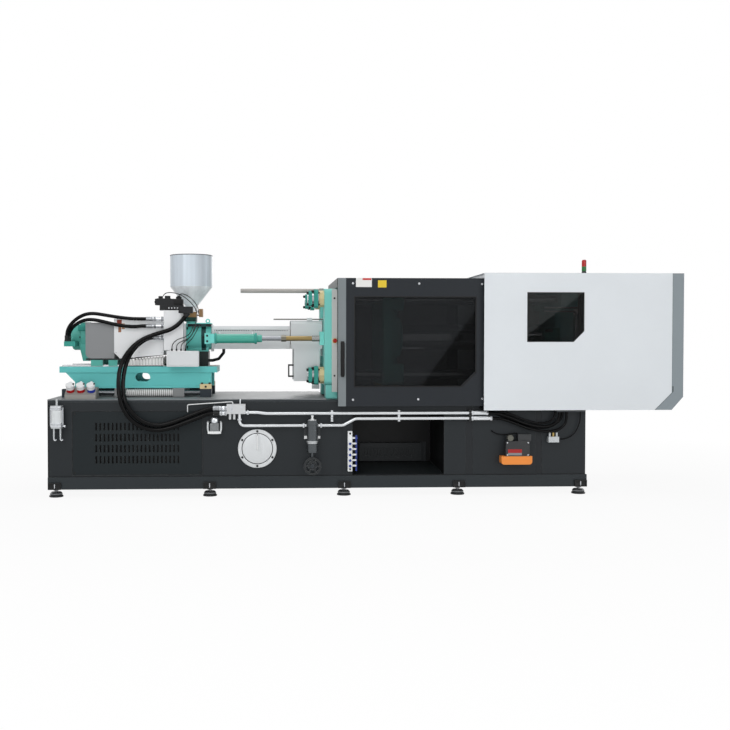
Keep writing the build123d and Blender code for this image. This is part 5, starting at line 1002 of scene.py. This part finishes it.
for finish in (makeFinish("bellowsCloth", {"colour": (228, 229, 228), "rough": 0.6, "bump": 0.35, "grain": 900.0,
                                           "wear": 0.0, "vary": 0.08, "smudge": 40.0}),
               makeFinish("bellowsFoldShade", {"colour": (96, 96, 95), "rough": 0.6, "wear": 0.0}), blackRubber):
    pair.data.materials.append(finish)
single = len(pair.data.polygons) // 2
# painted shade: faces in the middle of each pitch, the fold creases, take the darker material
for face in pair.data.polygons:
    phase = ((face.center.x - left) / pitch) % 1
    isStrap = face.index % single >= single - strapFaces
    face.material_index = 2 if isStrap else 1 if 0.32 < phase < 0.68 else 0
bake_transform(pair)
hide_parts("way_bellows")

coverScrews = grid((-2.33, -2.13), (-0.26,), (1.4, 1.17))
settle(boltHeads(coverScrews, "-y", 0.006, 0.003), "gearbox_screws", greyPaint, "drive")
panelBolts = grid((-2.095, -1.9, -1.71), (-0.27,), (1.445, 1.175))
settle(boltHeads(panelBolts, "-y", 0.005, 0.003), "hood_screws", brightSteel, "drive")

motor = {"flangeX": -2.417, "capX": -2.487, "height": 1.305, "ring": 0.118, "capRing": 0.092}
flangeX, capX, height, flangeRing, capRing = motor.values()
flangeBolts = boltHeads(boltCircle((flangeX, 0, height), "x", flangeRing, 0, 8), "-x", 0.009, 0.009)
capBolts = boltHeads(boltCircle((capX, 0, height), "x", capRing, 30, 6), "-x", 0.008, 0.008)
settle(joined([flangeBolts, capBolts]), "motor_screws", blackOxide, "drive")
boss = blockPiece((-2.44, -0.128, 1.36), (-2.355, -0.07, 1.412), 0.008, 3)
settle(rimmed(boss, lambda face: face.normal.z > 0.99, 0.012, (0, 0, 0.012)), "motor_boss", deepTealPaint, "drive")

settle(boltHead((-1.368, -0.1115, 1.305), "-y", 0.009, 0.007), "seat_band_screw", blackOxide, "carriage")
plateBolts = grid((-1.5062,), (-0.2, 0.2), (1.1, 1.22, 1.38))
settle(boltHeads(plateBolts, "x", 0.011, 0.011), "front_plate_screws", blackOxide, "carriage")
yokeBolts = boltHeads(grid((-1.323,), (-0.345,), (1.27, 1.316)), "-y", 0.009, 0.007)
settle(withMirror(yokeBolts), "yoke_screws", blackOxide, "carriage")
flanges = [turnPiece((start, -0.3, 1.293), "x", [(0.044, 0), (0.047, 0.003), (0.047, depth - 0.003), (0.044, depth)])
           for start, depth in ((-1.262, 0.018), (-0.927, 0.022))]
settle(withMirror(joined(flanges)), "traverse_flanges", deepTealPaint, "carriage")
portRings = [(0.012, 0), (0.012, 0.006), (0.009, 0.008), (0.009, 0.018), (0.006, 0.019)]
ports = [turnPiece((x, -0.3, 1.332), "z", portRings, 16) for x in (-1.225, -0.945)]
settle(withMirror(joined(ports)), "traverse_ports", brightSteel, "carriage")

valves = [
    blockPiece((-1.752, -0.286, 1.574), (-1.628, -0.204, 1.632), 0.006, 3),
    turnPiece((-1.752, -0.245, 1.602), "-x", [
        (0.024, 0), (0.026, 0.002), (0.026, 0.01), (0.009, 0.011), (0.009, 0.02)], 28),
    blockPiece((-1.738, -0.262, 1.628), (-1.702, -0.228, 1.652), 0.004, 3),
    blockPiece((-1.604, -0.3, 1.574), (-1.53, -0.206, 1.626), 0.006, 3),
    turnPiece((-1.567, -0.254, 1.626), "z", [(0.024, 0), (0.024, 0.02), (0.014, 0.022), (0.014, 0.028)], 28),
    blockPiece((-1.66, -0.312, 1.536), (-1.53, -0.3, 1.562), 0.004)]
settle(joined(valves), "valve_bodies", blackPlastic, "carriage")
valveScrews = [(-1.645 + 0.024 * i, -0.312, 1.549) for i in range(5)]
settle(boltHeads(valveScrews, "-y", 0.006, 0.005), "valve_screws", brightSteel, "carriage")
boxLid = blockPiece((-1.655, -0.3485, 1.064), (-1.402, -0.3448, 1.18), 0.0015)
settle(rimmed(boxLid, facesFront, 0.006, (0, 0.001, 0)), "terminal_box_lid", palePaint, "carriage")

hopper = {"x": -1.4785, "radius": 0.1823, "seam": 1.742, "flange": 1.536, "boltRing": 0.055}
x, r = hopper["x"], hopper["radius"]
seam = turnPiece((x, 0, hopper["seam"] - 0.003), "z", [
    (r - 0.002, -0.001), (r, 0.002), (r, 0.004), (r - 0.001, 0.006)], 96)
pickFaces(seam, lambda face: abs(face.normal.z) > 0.99)
bpy.ops.mesh.delete(type="FACE")
setMode("OBJECT")
settle(seam, "hopper_seam", brushedSteelAndSheen, "carriage")
ring = boltCircle((x, 0, hopper["flange"]), "z", hopper["boltRing"], 45, 4)
settle(boltHeads(ring, "z", 0.006, 0.006), "hopper_screws", blackOxide, "carriage")

guardScrews = grid((-1.27, -0.96, -0.65), (-0.17,), (1.36, 1.225))
settle(boltHeads(guardScrews, "-y", 0.005, 0.003), "guard_screws", brightSteel, "carriage")
# painted shade: dark insets flush on the guard stand for its slots, for the shade in the holes
hole = blockPiece((-1.276, -0.1712, 1.358), (-1.265, -0.1696, 1.366), 0.001, 1)
arrayed(hole, 33, (0.0195, 0, 0))
settle(hole, "guard_slots", blackOxide, "carriage")
tab = blockPiece((-0.435, -0.1915, 0.86), (-0.369, -0.1885, 0.935), 0.001)
settle(rimmed(tab, facesFront, 0.005, (0, 0.001, 0)), "purge_guard_tab", palePaint, "purge_guard")
print("injection unit made")

# floor, white surroundings and lights

selectOnly()
bpy.ops.mesh.primitive_plane_add(size=120, location=(0, 0, 0))
floor = bpy.context.object
floor.name = "studio_floor"
floorFinish = bpy.data.materials.new("floorFinish")
floorFinish.use_nodes = True
tree = floorFinish.node_tree
tree.nodes.remove(tree.nodes["Principled BSDF"])


def seenDirectly(tree):  # camera, mirror and glass rays
    rays = addNode(tree, "ShaderNodeLightPath")
    total = rays.outputs["Is Camera Ray"]
    for name in ("Is Glossy Ray", "Is Transmission Ray"):
        total = scalar(tree, "ADD", total, rays.outputs[name], clamp=True)
    return total


diffuse = addNode(tree, "ShaderNodeBsdfDiffuse")
feed(tree, diffuse, {"Color": (0.9, 0.9, 0.9, 1)})
glow = addNode(tree, "ShaderNodeEmission")
feed(tree, glow, {"Color": (1, 1, 1, 1)})
reach = vector(tree, "LENGTH", addNode(tree, "ShaderNodeTexCoord").outputs["Object"])
whiter = scalar(tree, "MULTIPLY", seenDirectly(tree), spread(tree, reach, 0.92, 1.0, 3.0, 6.0))
blend = addNode(tree, "ShaderNodeMixShader")
feed(tree, blend, {0: whiter, 1: diffuse.outputs[0], 2: glow.outputs[0]})
feed(tree, tree.nodes["Material Output"], {"Surface": blend.outputs[0]})
floor.data.materials.append(floorFinish)

world = bpy.data.worlds.new("studioWorld")
bpy.context.scene.world = world
world.use_nodes = True
tree = world.node_tree
feed(tree, tree.nodes["Background"], {
    "Color": (1, 1, 1, 1), "Strength": mixNumber(tree, seenDirectly(tree), 0.3, 1.0)})

lamps = {  # place, size, watts
    "key": ((-4.5, -7.5, 6.5), 5.0, 270), "fill": ((6.0, -8.0, 3.5), 5.0, 125), "top": ((0.0, 0.5, 6.5), 5.0, 130),
    "back": ((1.0, 7.5, 4.5), 5.0, 150), "front": ((-0.8, -9.6, 0.85), 1.5, 190)}
lampAim = Vector((0, 0, 0.9))
for name, (place, size, watts) in lamps.items():
    selectOnly()
    bpy.ops.object.light_add(type="AREA", location=place)
    lamp = bpy.context.object
    lamp.name = name + "_lamp"
    lamp.data.size = size
    lamp.data.energy = watts
    lamp.visible_glossy = name != "front"  # no lamp shape in the windows
    lamp.rotation_euler = (lampAim - Vector(place)).to_track_quat("-Z", "Y").to_euler()
bpy.context.scene.view_settings.view_transform = "Standard"
print("floor and lights ready")
